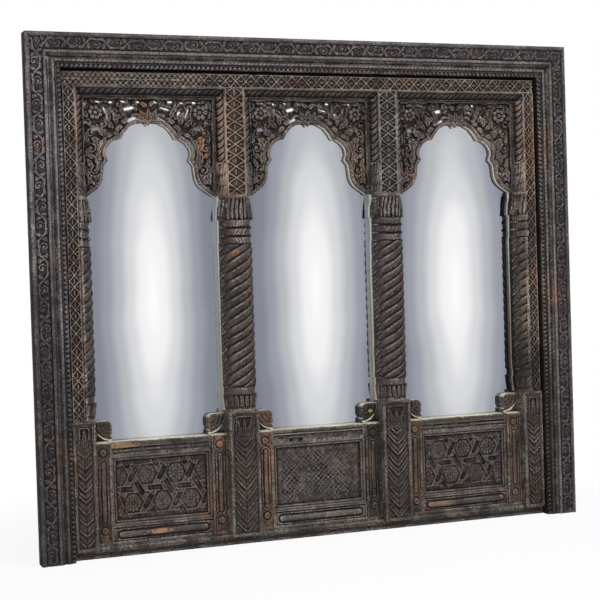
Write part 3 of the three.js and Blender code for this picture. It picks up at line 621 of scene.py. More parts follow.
def head_carving(x, z):
    """Single crossings on the right, and two finer rows where another hand began on the left."""
    width = head_width - GAP_WIDTH
    up = z - (lattice_base + width / 2)
    wide = lattice(x, up, width, HEAD_PITCH, 31)
    fine = lattice(x, np.abs(up) - width / 4, width / 2 + FILLET, HEAD_PITCH / 2, 35)
    relief = np.where(x > FINE_END, wide, fine)
    channel = soft_step(np.maximum(up - width / 2, x - (head_edge - GAP_WIDTH)), 0, 1.6)
    return np.minimum(relief + 0.8 * age(x, z, 33, "x") - GAP_DEPTH * channel, 0)


head_span = ((-head_edge, head_edge), (CARVED_FRONT, CARVED_BACK), (lattice_base, head_top))
head = carved_board("carved_lattice_head", head_span, head_carving, cell=1.5)
rear = rear_bar("head_rear", (-opening_x - REAR_WIDTH, opening_x + REAR_WIDTH),
                (opening_top, opening_top + REAR_WIDTH), opening_top + REBATE_LAP, along_x=True)
neck = block_piece("head_neck", (-head_edge, head_edge), (REAR_FRONT, CARVED_BACK),
                   (head_top - OVERLAP, opening_top + OVERLAP))
settle(join_into(head, rear, neck), "carved_wood", "lattice_head")
print("lattice head:", len(head.data.polygons), "faces")

# %% [markdown]
# ## Lattice jambs
# The jambs close the sides. The hanger plates are let into their backs, so each gets a
# shallow pocket with deeper room for a hook inside it. The bar is bisected along the edges of
# both, and the faces between the cuts are pushed in. This is how a chisel would work too.

# %% Lattice jambs
# The sign of x and the word for each side
SIDES = ((-1, "left"), (1, "right"))
jamb_x, pedestal_top, springing = 628, 345, 900
# The hanger plate with its pocket, and the room for a hook that is sunk deeper behind it
plate_x, plate_z, plate_half_x, plate_half_z = 702.5, 1040, 10, 45
HOOK_HALF, HOOK_UP, POCKET_DEPTH, HOOK_DEPTH = 5.3, 19, 3.3, 5.7
pocket_x = (plate_x - plate_half_x - SEAM, plate_x + plate_half_x + SEAM)
pocket_z = (plate_z - plate_half_z - SEAM, plate_z + plate_half_z + SEAM)
hook_x, hook_z = (plate_x - HOOK_HALF, plate_x + HOOK_HALF), (plate_z - HOOK_HALF, plate_z + HOOK_UP)
jamb_zs = (pedestal_top + SEAM, lattice_base - SEAM)


def jamb_carving(side):
    seed = 40 + side
    gap_depth = GAP_DEPTH if side > 0 else SHALLOW_GAP
    width = head_edge - GAP_WIDTH - jamb_x

    def carving(x, z):
        across = np.abs(x) - jamb_x - width / 2
        relief = lattice(z - pedestal_top, across, width, POST_PITCH, seed) + 0.8 * age(x, z, seed + 5)
        return np.minimum(relief - gap_depth * soft_step(across, width / 2, 1.6), 0)

    return carving


def within(xs, zs):
    """A test for push_back_faces that is the same on both sides of the frame."""
    return lambda x, z: xs[0] < abs(x) < xs[1] and zs[0] < z < zs[1]


def mirrored(side, inner, outer):
    return sorted((side * inner, side * outer))


for side, word in SIDES:
    spans = (mirrored(side, jamb_x, head_edge), (CARVED_FRONT, CARVED_BACK), jamb_zs)
    jamb = carved_board(f"carved_lattice_jamb_{word}", spans, jamb_carving(side), cell=1.5)
    rear = rear_bar(f"jamb_rear_{word}", mirrored(side, opening_x, opening_x + REAR_WIDTH),
                    (0, opening_top - SEAM), side * (opening_x + REBATE_LAP), along_x=False)
    bpy.ops.object.mode_set(mode="EDIT")
    for x in (*pocket_x, *hook_x):
        cut_across(0, side * x * MM)
    for z in (*pocket_z, *hook_z):
        cut_across(2, z * MM)
    push_back_faces(rear, WALL, within(pocket_x, pocket_z), -POCKET_DEPTH)
    push_back_faces(rear, WALL - POCKET_DEPTH, within(hook_x, hook_z), -HOOK_DEPTH)
    bpy.ops.object.mode_set(mode="OBJECT")
    link = block_piece(f"jamb_link_{word}", mirrored(side, head_edge - OVERLAP, opening_x + OVERLAP),
                       (REAR_FRONT, CARVED_BACK), jamb_zs)
    settle(join_into(jamb, rear, link), "carved_wood", f"lattice_jamb_{word}")
    print("jamb", word, len(jamb.data.polygons), "faces")

# %% [markdown]
# ## Lattice mullions
# Two narrow posts stand between the bays, over the middle columns. They carry the same chip
# carving in a band of full width, so only the middle and the seed change.

# %% Lattice mullions
mullion_x, mullion_width = 215, 50


def mullion_carving(middle, seed):
    def carving(x, z):
        relief = lattice(z - springing, x - middle, mullion_width, POST_PITCH, seed)
        return np.minimum(relief + 0.8 * age(x, z, seed + 5), 0)

    return carving


for side, word in SIDES:
    carving = mullion_carving(side * mullion_x, 50 + side)
    replace_node(f"lattice_mullion_{word}", "carved_wood", carving, cell=1.5)
print("mullions:", [len(piece.data.polygons) for piece in made[-2:]])

# %% [markdown]
# ## Ropes
# Round the top of each arch runs a sloping member cut as a fat rope. The slope falls from
# the lattice to the spandrel, and three lengths meet in mitres. As with the outer frame, the
# formula takes the distance from the outside of the three, so that the mitre comes by itself.
# Each upright length ends in a leaf bracket over the column. A twisted tube could be swept
# along the arch, but the real strands are cut into a slope, and only their fronts are round.

# %% Ropes
ROPE_WIDTH, ROPE_DROP, ROPE_PITCH, ROPE_SWEEP = 22, 21, 17, 1.15
ROPE_BACK, BRACKET_TOP, BURIED = 58.4, 985, -99
# The middle and half the clear width of each bay
bays = {"left": (-434, 172), "middle": (0, 168), "right": (434, 172)}


def rope_carving(middle, half, seed):
    outer = half + ROPE_WIDTH

    def carving(x, z):
        side_in, top_in = outer - np.abs(x - middle), lattice_base - z
        across = np.clip(np.minimum(side_in, top_in), 0, ROPE_WIDTH)
        upright = side_in < top_in
        run = np.where(upright, z, x - middle) + 1.5 * mottle(x, z, 30, seed)
        lean = np.where(upright, np.sign(x - middle), 1)
        share = across / ROPE_WIDTH
        slope = -ROPE_DROP * (share ** 1.25)
        # Strands that sweep round the rope. Each has a flat top, and one edge higher than the other
        twist = (run / ROPE_PITCH + lean * ROPE_SWEEP * (1 - (1 - share) ** 2)) % 1
        strand = np.clip(1 - ((twist - 0.48) / 0.42) ** 4, 0, 1) ** 0.5 * (0.62 + 0.5 * twist)
        body = 5.2 * strand * np.sin(np.pi * np.clip((share - 0.1) / 0.85, 0, 1)) ** 0.5
        rope = slope - 5.0 + body + 0.35 * np.cos(6 * np.pi * twist) * strand
        fillet = np.where(share < 0.16, -0.2, BURIED)
        inner = np.where(share > 0.93, -ROPE_DROP + 1.2, BURIED)
        rope = np.maximum.reduce([rope, fillet, inner])
        # The bracket: three leaves over each other, scooped at the foot
        lift = np.clip((z - springing) / (BRACKET_TOP - springing), 0, 1)
        scoop = 5 * np.sin(np.pi * lift) ** 2
        lobes = 3.2 * np.abs(np.sin(3 * np.pi * (lift + 0.12 * share))) ** 0.6
        veins = 0.8 * np.cos(2 * np.pi * (share * 4 + lift * 2))
        leaves = -ROPE_DROP * share ** 1.6 * 0.8 - 5.5 + scoop + lobes + veins
        is_bracket = upright & (z < BRACKET_TOP)
        height = np.where(is_bracket, leaves, rope)
        height = height - narrow_line(z - BRACKET_TOP, 1.4, 2.2) * upright
        return np.minimum(height + 0.7 * age(x, z, seed + 1), 0)

    return carving


def rope_length(word, bay, xs, zs, carving):
    node = f"rope_{word}_of_{bay}_bay"
    piece = carved_board("carved_" + node, (xs, (CARVED_FRONT, ROPE_BACK), zs), carving, cell=1.4)
    settle(piece, "worn_wood", node)


for bay, (middle, half) in bays.items():
    carving = rope_carving(middle, half, 60 + int(middle))
    outer = half + ROPE_WIDTH
    low, mitre = springing + SEAM, lattice_base - ROPE_WIDTH
    for side, word in SIDES:
        xs = sorted((middle + side * (half + 0.2), middle + side * (outer - SEAM)))
        rope_length(word, bay, xs, (low, mitre), carving)
    xs = (middle - outer + SEAM, middle + outer - SEAM)
    rope_length("top", bay, xs, (mitre, lattice_base - SEAM), carving)
print("ropes done,", len(made), "pieces so far")

# %% [markdown]
# ## Spandrels
# The board over each arch is the finest part: it is pierced right through, so the mirror
# shows between the leaves. The outline of the arch is a row of lobes that was measured off
# the photograph as shares of the width and rise. A boolean could cut it, but sawing a grid by
# its distance to the line keeps even cells, which the carving needs later.

# %% Arch outline
ARCH_RISE, ARCH_SHARE = 188, 0.965
arch_across = [0, .05, .18, .3, .385, .434, .51, .6, .66, .68, .645, .71, .735, .765, .82, .9, 1]
arch_rise = [.955, 1, .99, .935, .85, .777, .77, .72, .65, .575, .49, .415, .24, .17, .11, .06, 0]


def arch_line(half):
    """The half outline from crown to foot, then straight down past the springing."""
    xs = [share * half * ARCH_SHARE for share in arch_across]
    zs = [share * ARCH_RISE for share in arch_rise]
    return np.array([*zip(xs, zs), (xs[-1], -40.0)])


def distance_to_line(x, z, line):
    """Distance to a row of segments, and the length along it to the nearest point."""
    best, along, run = np.full(x.shape, 1e9), np.zeros(x.shape), 0.0
    for (x0, z0), (x1, z1) in zip(line[:-1], line[1:]):
        dx, dz = x1 - x0, z1 - z0
        size = math.hypot(dx, dz)
        t = np.clip(((x - x0) * dx + (z - z0) * dz) / size ** 2, 0, 1)
        d = np.hypot(x - x0 - t * dx, z - z0 - t * dz)
        closer = d < best
        best, along = np.where(closer, d, best), np.where(closer, run + t * size, along)
        run += size
    return best, along


def inside_arch(x, z, line):
    """Counts how often a level ray towards the middle crosses the half outline."""
    hits = np.zeros(x.shape, dtype=int)
    for (x0, z0), (x1, z1) in zip(line[:-1], line[1:]):
        if z0 == z1:
            continue
        spans = (z >= min(z0, z1)) & (z < max(z0, z1))
        crossing = x0 + (z - z0) * (x1 - x0) / (z1 - z0)
        hits += spans & (crossing > x)
    return hits % 2 == 1


# Slots along the arch as the start and end of the run along its line
arch_slots = [(25, 54), (84, 104), (126, 150), (182, 200), (232, 250)]
SLOT_AWAY, SLOT_HALF = 13.6, 4.2
# Slots further out as centre x, height over the springing, turn, length and width, for the right half
slots = [
    (46, 224, -14, 35, 8), (23, 240, 0, 17, 7), (62, 241, 5, 20, 7), (93, 239, -6, 16, 7),
    (126, 240, 4, 18, 7), (158, 189, 0, 18, 8), (106, 212, 72, 34, 10), (84, 212, 40, 20, 8),
    (132, 172, -12, 30, 9), (159, 232, 90, 16, 8), (160, 150, 90, 20, 8), (158, 112, 86, 18, 8),
    (162, 66, 88, 18, 7),
]


def slot_distance(x, z, away, along):
    """How far a place is from the nearest slot, negative inside it."""
    best = np.full(x.shape, 1e9)
    for start, end in arch_slots:
        run = along - np.clip(along, start + SLOT_HALF, end - SLOT_HALF)
        best = np.minimum(best, np.hypot(run, away - SLOT_AWAY) - SLOT_HALF)
    for at_x, at_z, turn, length, width in slots:
        c, s = math.cos(math.radians(turn)), math.sin(math.radians(turn))
        reach = (length - width) / 2
        u = (x - at_x) * c + (z - at_z) * s
        v = -(x - at_x) * s + (z - at_z) * c
        best = np.minimum(best, np.hypot(u - np.clip(u, -reach, reach), v) - width / 2)
    return best


# %% [markdown]
# ## Spandrel carving
# The chisel leaves a double roll along the arch, a row of leaning lobes, and then scrolls,
# leaves and two flowers that lie over each other. They are written for the right half, and
# the distance from the middle mirrors them. A table of leaves is easy to move until it agrees
# with the photograph, which a free sculpture isn't.

# %% Spandrel carving
RIM_WIDTH, SPANDREL_GROUND, TOP_STRIP, SIDE_STRIP, STRIP_HEIGHT = 9, -9, 245, 167, 8
LOBE_PITCH, LOBE_AWAY, LEAF_HEIGHT, SCROLL_HEIGHT = 21, 18, 7.6, 7.4
ROSETTE, PETAL_RING, PETAL_RADIUS, PETALS, PETAL_HEIGHT = (137, 212), 13, 6.6, 7, 7.5
# The half width of a side bay, for which the tables are written
TABLE_HALF = 172
# Leaves as start x, start height, direction, length and width
leaves = [
    (0, 188, 90, 36, 17), (7, 192, 60, 34, 14), (12, 190, 30, 34, 13), (2, 226, 40, 24, 12),
    (30, 214, 70, 30, 13), (56, 196, 62, 44, 15), (66, 196, 28, 40, 15), (84, 180, 84, 42, 15),
    (92, 172, 48, 40, 15), (70, 214, 92, 28, 12), (112, 196, 118, 40, 13), (104, 162, 12, 30, 14),
    (112, 152, 50, 40, 15), (122, 140, 20, 34, 14), (150, 176, 70, 26, 12), (128, 112, 66, 42, 16),
    (142, 96, 40, 28, 13), (134, 78, 84, 40, 15), (150, 70, 70, 34, 13), (136, 40, 74, 46, 21),
    (157, 26, 92, 46, 17), (146, 14, 66, 40, 20), (163, -2, 98, 40, 17), (150, 240, 190, 24, 10),
    (166, 216, 108, 28, 9), (118, 240, 186, 22, 9),
]
# Scrolls as centre x, height, radius and way round
scrolls = [
    (148, 160, 12, 1), (120, 182, 10, -1), (150, 122, 12, -1), (142, 66, 12, 1), (152, 22, 13, -1),
    (32, 236, 8, 1), (76, 232, 9, -1), (160, 206, 8, 1),
]


def petals_at(u, v):
    """A flower of seven round petals, each one a separate dome, round a pierced button."""
    u, v = u - ROSETTE[0], v - ROSETTE[1]
    turn = np.arctan2(v, u) * PETALS / (2 * math.pi)
    angle = np.round(turn) * 2 * math.pi / PETALS
    petal = np.hypot(u - PETAL_RING * np.cos(angle), v - PETAL_RING * np.sin(angle))
    middle = np.hypot(u, v)
    button = ridge(middle, 6, PETAL_HEIGHT) - narrow_line(middle, 1.6, 3.5)
    dome = ridge(petal, PETAL_RADIUS, PETAL_HEIGHT) - narrow_line(petal, 1.8, 2.2)
    return np.maximum(dome, button)


def spandrel_pair(middle, half, seed):
    """The saw line and the carving of one spandrel."""
    line = arch_line(half)
    stretch = TABLE_HALF / half

    def wood(x, z):
        u, v = np.abs(x - middle), z - springing
        away, along = distance_to_line(u, v, line)
        arch = np.where(inside_arch(u, v, line), -away, away)
        return np.minimum(arch, slot_distance(u * stretch, v, away, along))

    def carving(x, z):
        u, v = np.abs(x - middle), z - springing
        away, along = distance_to_line(u, v, line)
        hole = slot_distance(u * stretch, v, away, along)
        u = u * stretch + 2.4 * mottle(x, z, 30, seed) + 0.8 * mottle(x, z, 9, seed + 4)
        v = v + 2.4 * mottle(x, z, 28, seed + 1) + 0.8 * mottle(x, z, 9, seed + 5)
        # A row of leaning lobes follows the arch, each with a cut along its middle
        lobe = (along / LOBE_PITCH) % 1 - 0.5
        lobe_away = away - LOBE_AWAY - 3 * lobe
        relief = lens(lobe * LOBE_PITCH, lobe_away, LOBE_PITCH * 0.47, 8, 6.4)
        relief = relief - narrow_line(lobe_away, 0.9, 1.2) * (relief > 1)
        relief = np.maximum(relief, leaf_spray(u, v, leaves, LEAF_HEIGHT, 3))
        for at_x, at_z, radius, way in scrolls:
            near = np.hypot(u - at_x, v - at_z) < radius
            curl = spiral(u, v, (at_x, at_z), radius, radius * 0.72, 2.8, SCROLL_HEIGHT, way, 0.6)
            relief = np.where(near, curl, relief)
        bloom = np.hypot(u - ROSETTE[0], v - ROSETTE[1]) < PETAL_RING + PETAL_RADIUS + 1
        relief = np.where(bloom, petals_at(u, v), relief)
        # The double roll along the arch, plain strips at the top and the side, and raised slot edges
        rim = np.maximum(ridge(away - 1.6, 3.4, 3.6), ridge(away - 6.0, 3.6, 6.2))
        relief = np.where(away < RIM_WIDTH, np.maximum(rim, 2.4), relief)
        strip = np.maximum(soft_step(v, TOP_STRIP, 1.2), soft_step(u, SIDE_STRIP, 1.2))
        relief = np.maximum(relief, STRIP_HEIGHT * strip)
        relief = relief + narrow_line(hole - 1.6, 1.2, 1.6) * (relief > 1)
        return np.minimum(SPANDREL_GROUND + relief + 0.6 * age(x, z, seed + 2), 0)

    return wood, carving


for bay, (middle, half) in bays.items():
    wood, carving = spandrel_pair(middle, half, 80 + int(middle))
    replace_node(f"spandrel_{bay}", "carved_wood", carving, cell=1.6, wood=wood)
print("spandrels:", [len(piece.data.polygons) for piece in made[-3:]])

# %% [markdown]
# ## Columns
# Each column is a half-round front on a flat-sided back. It is carved as a flat sheet and
# then wrapped round its plan, as a cook wraps pastry round a tin: the sheet's width becomes
# the way round, and every cut moves along the surface's own outward direction. The twisted
# shaft is then only a slanted stripe pattern, which is simple to write on a flat sheet.

# %% Column plan
COLUMN_HALF, CHEEK_FRONT, COLUMN_REACH, BACK_HALF, COLUMN_CELL = 40, 60, 48.3, 39, 1.6
LIMITLESS = 99
# The plan as places across (x), set-backs (d) and lengths of the way round (s)
turn_steps = np.linspace(0, math.pi, 181)
plan_end = [CARVED_BACK - 0.5]
plan_x = np.concatenate([[-BACK_HALF], -COLUMN_HALF * np.cos(turn_steps), [BACK_HALF]])
plan_d = np.concatenate([plan_end, CHEEK_FRONT - COLUMN_REACH * np.sin(turn_steps), plan_end])
plan_s = np.concatenate([[0], np.cumsum(np.hypot(np.diff(plan_x), np.diff(plan_d)))])
plan_s -= plan_s[-1] / 2
way_round = plan_s[-1]
print("half way round a column, mm:", round(way_round, 1))


def wrap(piece, front, centre, spread, limits, carving):
    """Rolls a flat sheet round the plan. spread gives the back's ends for the sheet's two ends."""
    points = points_of(piece)
    face = on_face(points, front)
    s, z = points[:, 0] / MM, points[:, 2] / MM
    x, d = np.interp(s, plan_s, plan_x), np.interp(s, plan_s, plan_d)
    step = 0.8
    along_x = np.interp(s + step, plan_s, plan_x) - np.interp(s - step, plan_s, plan_x)
    along_d = np.interp(s + step, plan_s, plan_d) - np.interp(s - step, plan_s, plan_d)
    size = np.hypot(along_x, along_d) + 1e-9
    out_x, out_d = -along_d / size, along_x / size
    height = carving(s, z)
    note_level(piece, face, s[face], z[face], height[face])
    x = np.clip(x + out_x * height, *limits)
    d = d - out_d * height
    back_x = np.interp(s, [s.min(), s.max()], spread)
    points[:, 0] = (centre + np.where(face, x, back_x)) * MM
    points[:, 1] = np.where(face, y_at(np.minimum(d, CARVED_BACK - 0.4)), y_at(CARVED_BACK))
    set_points(piece, points)


# %% [markdown]
# ## Column carving
# From the foot up there are two bosses, a ring of upright leaves, a fat ring, the twisted
# shaft, three rolls, a leaf capital and the plain abacus. Each zone is a formula of its own
# over the same sheet, and the height on the column chooses between them.

# %% Column carving
SPIRAL_PITCH, SPIRAL_RISE = 24, 88 / 140
RING_LOW, RING_MIDDLE, SHAFT_LOW, SHAFT_HIGH, CAPITAL_LOW, ABACUS_LOW = 387, 397, 407, 775, 837, 892
BASE_LEAF, CAPITAL_LEAF, FRONT_REACH = 13, 10.5, 61
KNOB_Z, KNOB_OFF, KNOB_RADIUS = 347.5, 17, 10
# How far the plan swells or shrinks at each height
column_swell = {
    345: 3.5, 366: 0, 386: -2, 388: 0, 407: 0, 408: -0.6, 774: -0.6, 776: 0, 836: 0, 838: -5, 865: -3,
    888: 2.5, 891: 2.5, 892: 2, 900: 2,
}
# Each strand of the shaft has a sharp upper edge and falls away to the groove below it
strand_profile = {0: -3.4, 0.05: 0, 0.11: -0.6, 0.3: -2.2, 0.7: -3.8, 0.85: -5.4, 0.95: -5.4, 1: -3.4}
# The rolls below the capital as middle height, width of a bead and slant
rolls_below = ((785, 9.5, 0.5), (806, 13, -0.4), (827, 7.5, 0.0))


def knobs(across, z):
    """Two round bosses at the foot of a column, half on the column and half on its pedestal."""
    return ridge(np.hypot(np.abs(across) - KNOB_OFF, z - KNOB_Z), KNOB_RADIUS, 4.6)


def column_carving(seed):
    def carving(s, z):
        front = 1 - soft_step(np.abs(s), FRONT_REACH, 4)
        s_worn = s + 1.1 * mottle(s, z, 33, seed) + 0.5 * mottle(s, z, 9, seed + 5)
        z_worn = z + 1.6 * mottle(s, z, 34, seed + 1) + 0.5 * mottle(s, z, 10, seed + 6)
        # Base: upright leaves with round tips over two bosses
        rise = np.clip((z - pedestal_top) / (RING_LOW - pedestal_top), 0, 1)
        a = (s_worn / BASE_LEAF) % 1 - 0.5
        room = 0.46 * np.sqrt(np.clip(1 - (rise - 0.1) ** 5, 0.02, 1))
        base = -5 + 4.6 * ridge(a, room, 1) - narrow_line(a, 0.07, 1.4)
        bosses = np.maximum(knobs(s_worn, z_worn) - 4.6, -3.6)
        base = np.where(z < KNOB_Z + KNOB_RADIUS + 1, bosses, base)
        # Ring: a fat torus
        lumps = 0.85 + 0.15 * np.abs(np.cos(np.pi * s_worn / 21))
        ring = -5 + ridge(z_worn - RING_MIDDLE, 9.4, 6) * lumps
        # Shaft: slanted strands with fine flutes
        down = 1 - ((z_worn - s_worn * SPIRAL_RISE) / SPIRAL_PITCH) % 1
        shaft = section(strand_profile, down)
        shaft = shaft - 0.3 * np.cos(2 * np.pi * down * 5) * (down < 0.7)
        # Three rolls below the capital, each cut in its own way
        rolls = np.full(s.shape, -6.0)
        for middle, pitch, slant in rolls_below:
            bead = np.abs(np.cos(np.pi * (s_worn / pitch + slant * (z - middle) / 10))) ** 0.5
            roll = ridge(z_worn - middle, 9.0, 7.4) * (0.66 + 0.34 * bead)
            rolls = np.maximum(rolls, -6.0 + roll)
        # Capital: narrow upright leaves that spread towards the abacus
        lift = np.clip((z - CAPITAL_LOW) / (ABACUS_LOW - CAPITAL_LOW), 0, 1)
        b = ((s_worn + 2.6 * mottle(s, z, 24, seed + 8)) / CAPITAL_LEAF) % 1 - 0.5
        tall = np.clip(lift * 1.05 + 0.16 * mottle(s, 0 * z, CAPITAL_LEAF, seed + 9), 0, 1)
        space = 0.2 + 0.27 * np.sin(np.pi * tall) ** 0.7
        capital = -5.6 + 5.4 * ridge(b, space, 1) - narrow_line(b, 0.06, 1.6)
        abacus = -0.6 - narrow_line(z - (ABACUS_LOW + 1.5), 0.9, 1.5)
        zones = [z < RING_LOW, z < SHAFT_LOW, z < SHAFT_HIGH, z < CAPITAL_LOW, z < ABACUS_LOW]
        cut = np.select(zones, [base, ring, shaft, rolls, capital], abacus)
        for level in (RING_LOW, SHAFT_LOW, SHAFT_HIGH, CAPITAL_LOW):
            cut = cut - narrow_line(z_worn - level, 1.1, 1.6)
        # The cheeks are plain
        plain = np.where((z > SHAFT_LOW) & (z < SHAFT_HIGH), -2.5, -1.0)
        swell = section(column_swell, z)
        return swell + cut * front + plain * (1 - front) + 0.8 * age(s, z, seed + 3)

    return carving


def column(node, centre, ends):
    """ends are the two ends of the sheet along the way round."""
    front, (base, top) = 0, box_mm(node)[2]
    piece = face_grid("carved_" + node, ends, (base, top), front, COLUMN_CELL)
    close_back(CARVED_BACK - front)
    spread = [float(np.interp(end, plan_s, plan_x)) for end in ends]
    limits = [spread[0] if ends[0] > plan_s[0] + 1 else -LIMITLESS,
              spread[1] if ends[1] < way_round - 1 else LIMITLESS]
    wrap(piece, front, centre, spread, limits, column_carving(100 + int(centre)))
    return settle(piece, "worn_wood", node)


# The side columns are cut off flat where the jambs begin
side_centre = 638
cut_s = float(np.interp(jamb_x - SEAM - side_centre, plan_x[2:-2], plan_s[2:-2]))
column("column_middle_left", -mullion_x, (-way_round, way_round))
column("column_middle_right", mullion_x, (-way_round, way_round))
column("column_side_left", -side_centre, (-cut_s, way_round))
column("column_side_right", side_centre, (-way_round, cut_s))
print("columns:", [len(piece.data.polygons) for piece in made[-4:]])

# %% [markdown]
# ## Pedestals
# Under each column stands a block with a plain border, a small palmette in a round-cornered
# frame at the top, and nested chevrons below it, like the veins of a leaf. The chevrons point
# down, and each one is a broad rounded rib with a thin rib over it. They could be an array of
# bent bars. As one profile that repeats along a climbing line, they need no joins.

# %% Pedestals
CHEVRON_PITCH, BORDER, pedestal_base = 28, 12, 22
MOTIF_LOW, MOTIF_HIGH, MOTIF_ROUND = 274, 332, 9
chevron_profile = {
    0: -4.2, 0.07: -0.2, 0.14: -0.5, 0.36: -2.4, 0.44: -4, 0.5: -1.2, 0.58: -1.4, 0.86: -3.2, 1: -4.2,
}
border_profile = {0: -1.6, 1: -0.4, 2: 0, 8.6: -0.2, 9.4: -2.4, 10.6: -2.4, BORDER: -0.6}
# Leaves from the foot of the little frame as start x, start height, direction, length and width
palmette = [
    (0, 277, 90, 50, 13), (3, 277, 66, 48, 12), (5, 276, 44, 32, 11), (8, 275, 16, 20, 9),
    (17, 300, 84, 26, 9),
]


def pedestal_carving(middle, half, seed):
    def carving(x, z):
        u = x - middle + 1.0 * mottle(x, z, 34, seed) + 0.5 * mottle(x, z, 9, seed + 3)
        v = z + 1.3 * mottle(x, z, 30, seed + 1) + 0.5 * mottle(x, z, 9, seed + 4)
        reach = np.abs(u)
        field = (v - reach * 0.75 - 0.014 * reach ** 2) / CHEVRON_PITCH % 1
        height = softened(section(chevron_profile, field), -1.5, x, z, seed)
        height = height - 0.4 * np.cos(2 * np.pi * field * 7) - narrow_line(u, 1.1, 1.2)
        # The small frame with round corners
        side_in, end_in = half - BORDER - 3 - reach, np.minimum(v - MOTIF_LOW, MOTIF_HIGH - v)
        past_side, past_end = np.minimum(side_in - MOTIF_ROUND, 0), np.minimum(end_in - MOTIF_ROUND, 0)
        corner = MOTIF_ROUND - np.hypot(past_side, past_end)
        frame_in = np.minimum(corner, np.minimum(side_in, end_in))
        leaves_in = leaf_spray(np.abs(u), v, palmette, 4.2, 4) - 4.8
        motif = np.where(frame_in < 5, -5.2 + ridge(frame_in - 2, 2.4, 4.6), leaves_in)
        motif = np.where(frame_in < -0.5, -1.4, motif)
        height = np.where(v > MOTIF_LOW - 3, motif, height)
        # The plain border, and the lower halves of the bosses over it
        edge = np.minimum(half - reach, np.minimum(z - pedestal_base, pedestal_top - z))
        height = np.where((edge < BORDER) & (z < MOTIF_HIGH), section(border_profile, edge), height)
        height = np.where(z > MOTIF_HIGH, np.maximum(height, knobs(u, v) - 3), height)
        return np.minimum(height + 0.8 * age(x, z, seed + 2), 0)

    return carving


for node in ("pedestal_middle_left", "pedestal_middle_right", "pedestal_side_left", "pedestal_side_right"):
    xs = box_mm(node)[0]
    middle, half = sum(xs) / 2, (xs[1] - xs[0]) / 2
    replace_node(node, "carved_wood", pedestal_carving(middle, half, 140 + int(middle)), cell=1.5)
print("pedestals:", [len(piece.data.polygons) for piece in made[-4:]])

# %% [markdown]
# ## Lower panels: stiles
# Each bay is closed below by a framed panel. Its stiles have a long reed with round ends,
# a flat button above and below, and an ear that rises over the rail. The ear has one round
# corner with a nick under it, and is carved as a curled leaf. The reed's section is given by
# the distance to a line that stops short, so its round ends come without any extra work.

# %% Stiles
unit_top, ear_top = 287, 340
# The middle and half the width of each lower panel unit
units = {"left": (-429.5, 174.5), "middle": (0, 175), "right": (429.5, 174.5)}
STILE_WIDTH, STILE_GROUND, EAR_WIDTH, EAR_ROUND = 43, -3.0, 48, 15
EAR_CURL, EAR_RIM, EAR_DOME = (46, 332), 38, 12
NICK_Z, NICK_RADIUS = 303, 4.5
REED_LOW, REED_HIGH, FLAT_BELOW, FLAT_ABOVE = 93, 234, 78, 249
BUTTONS, BUTTON_EDGE = (66, 262), 12
reed_profile = {
    0: 2.2, 3: 1.9, 5: 0.8, 5.8: -2.0, 7.4: -2.0, 8.2: 0.7, 12.6: 0.9, 13.3: -0.9, 14.7: -0.9, 15.4: 0.9,
    18: 0.9,
}
end_profile = {0: 0.7, 15: 0.7, 15.6: -0.8, 17: -0.8, 17.6: 0.9, 20: 0.9}
button_profile = {
    0: 1.2, 1.4: 1.2, 2.2: 2.6, 5: 2.4, 7.6: 2.0, 8.8: 1.2, 9.6: -2.2, 10.8: -2.0, BUTTON_EDGE: 0.6,
}
ear_rim_profile = {0: -0.6, 1.5: -0.6, 3: 2.2, 5: 2.2, 6.4: -1.4, 8: 0.2}


def stile_maker(outer, side, seed):
    """side is -1 where the stile stands at the left of its bay."""

    def across(x):
        return (x - outer) * -side

    def wood(x, z):
        a = across(x)
        past_ear, past_top = np.maximum(a - EAR_WIDTH + EAR_ROUND, 0), np.maximum(z - ear_top + EAR_ROUND, 0)
        body = EAR_ROUND - np.hypot(past_ear, past_top)
        nick = np.hypot(a - EAR_WIDTH - 1, z - NICK_Z) - NICK_RADIUS
        stile = np.maximum(STILE_WIDTH - SEAM - a, z - unit_top - SEAM)
        return np.minimum(np.minimum(body, nick), stile)

    def carving(x, z):
        a = across(x) + 0.6 * mottle(x, z, 40, seed)
        middle = STILE_WIDTH / 2
        reed = np.hypot(a - middle, z - np.clip(z, REED_LOW, REED_HIGH))
        edge = np.abs(a - middle)
        beyond = (z < FLAT_BELOW) | (z > FLAT_ABOVE)
        height = np.where(beyond, section(end_profile, edge), section(reed_profile, reed))
        for level in BUTTONS:
            r = np.hypot(a - middle, z - level)
            height = np.where(r < BUTTON_EDGE, section(button_profile, r), height)
        height = softened(np.where(edge > 20.4, 0.2, height), 0.6, x, z, seed)
        # The ear: a curled leaf whose flutes follow its rim, rounded over towards its top
        r = np.hypot(a - EAR_CURL[0], z - EAR_CURL[1])
        flutes = 2.4 - 1.1 * np.abs(np.sin(np.pi * r / 8.6 + 0.05 * a)) ** 2
        ear = np.where(r < EAR_RIM, flutes, section(ear_rim_profile, r - EAR_RIM))
        inward = np.clip(1 + wood(x, z) / EAR_DOME, 0, 1)
        ear = ear - EAR_DOME * 0.9 * (1 - np.sqrt(1 - inward ** 2))
        height = np.where(z > unit_top + 1, ear, height)
        height = height - narrow_line(z - unit_top, 1.3, 2.4)
        return np.minimum(STILE_GROUND + height + 0.8 * age(x, z, seed + 1), 0)

    return wood, carving


for bay, (middle, half) in units.items():
    for side, word in SIDES:
        wood, carving = stile_maker(middle + side * (half - SEAM), side, 160 + int(middle) + side)
        replace_node(f"stile_{word}_{bay}_bay", "worn_wood", carving, cell=1.5, wood=wood, angle=40)
print("stiles:", [len(piece.data.polygons) for piece in made[-6:]])

# %% [markdown]
# ## Lower panels: rails
# The top rail is run with planes, so its section is the same from end to end: reeds and
# grooves. The middle one also has a small sunk oblong near its left end. The bottom rail has
# one long half-round bar with rounded ends. A profile could be extruded from end to end, but
# then the age of the wood couldn't dent it.

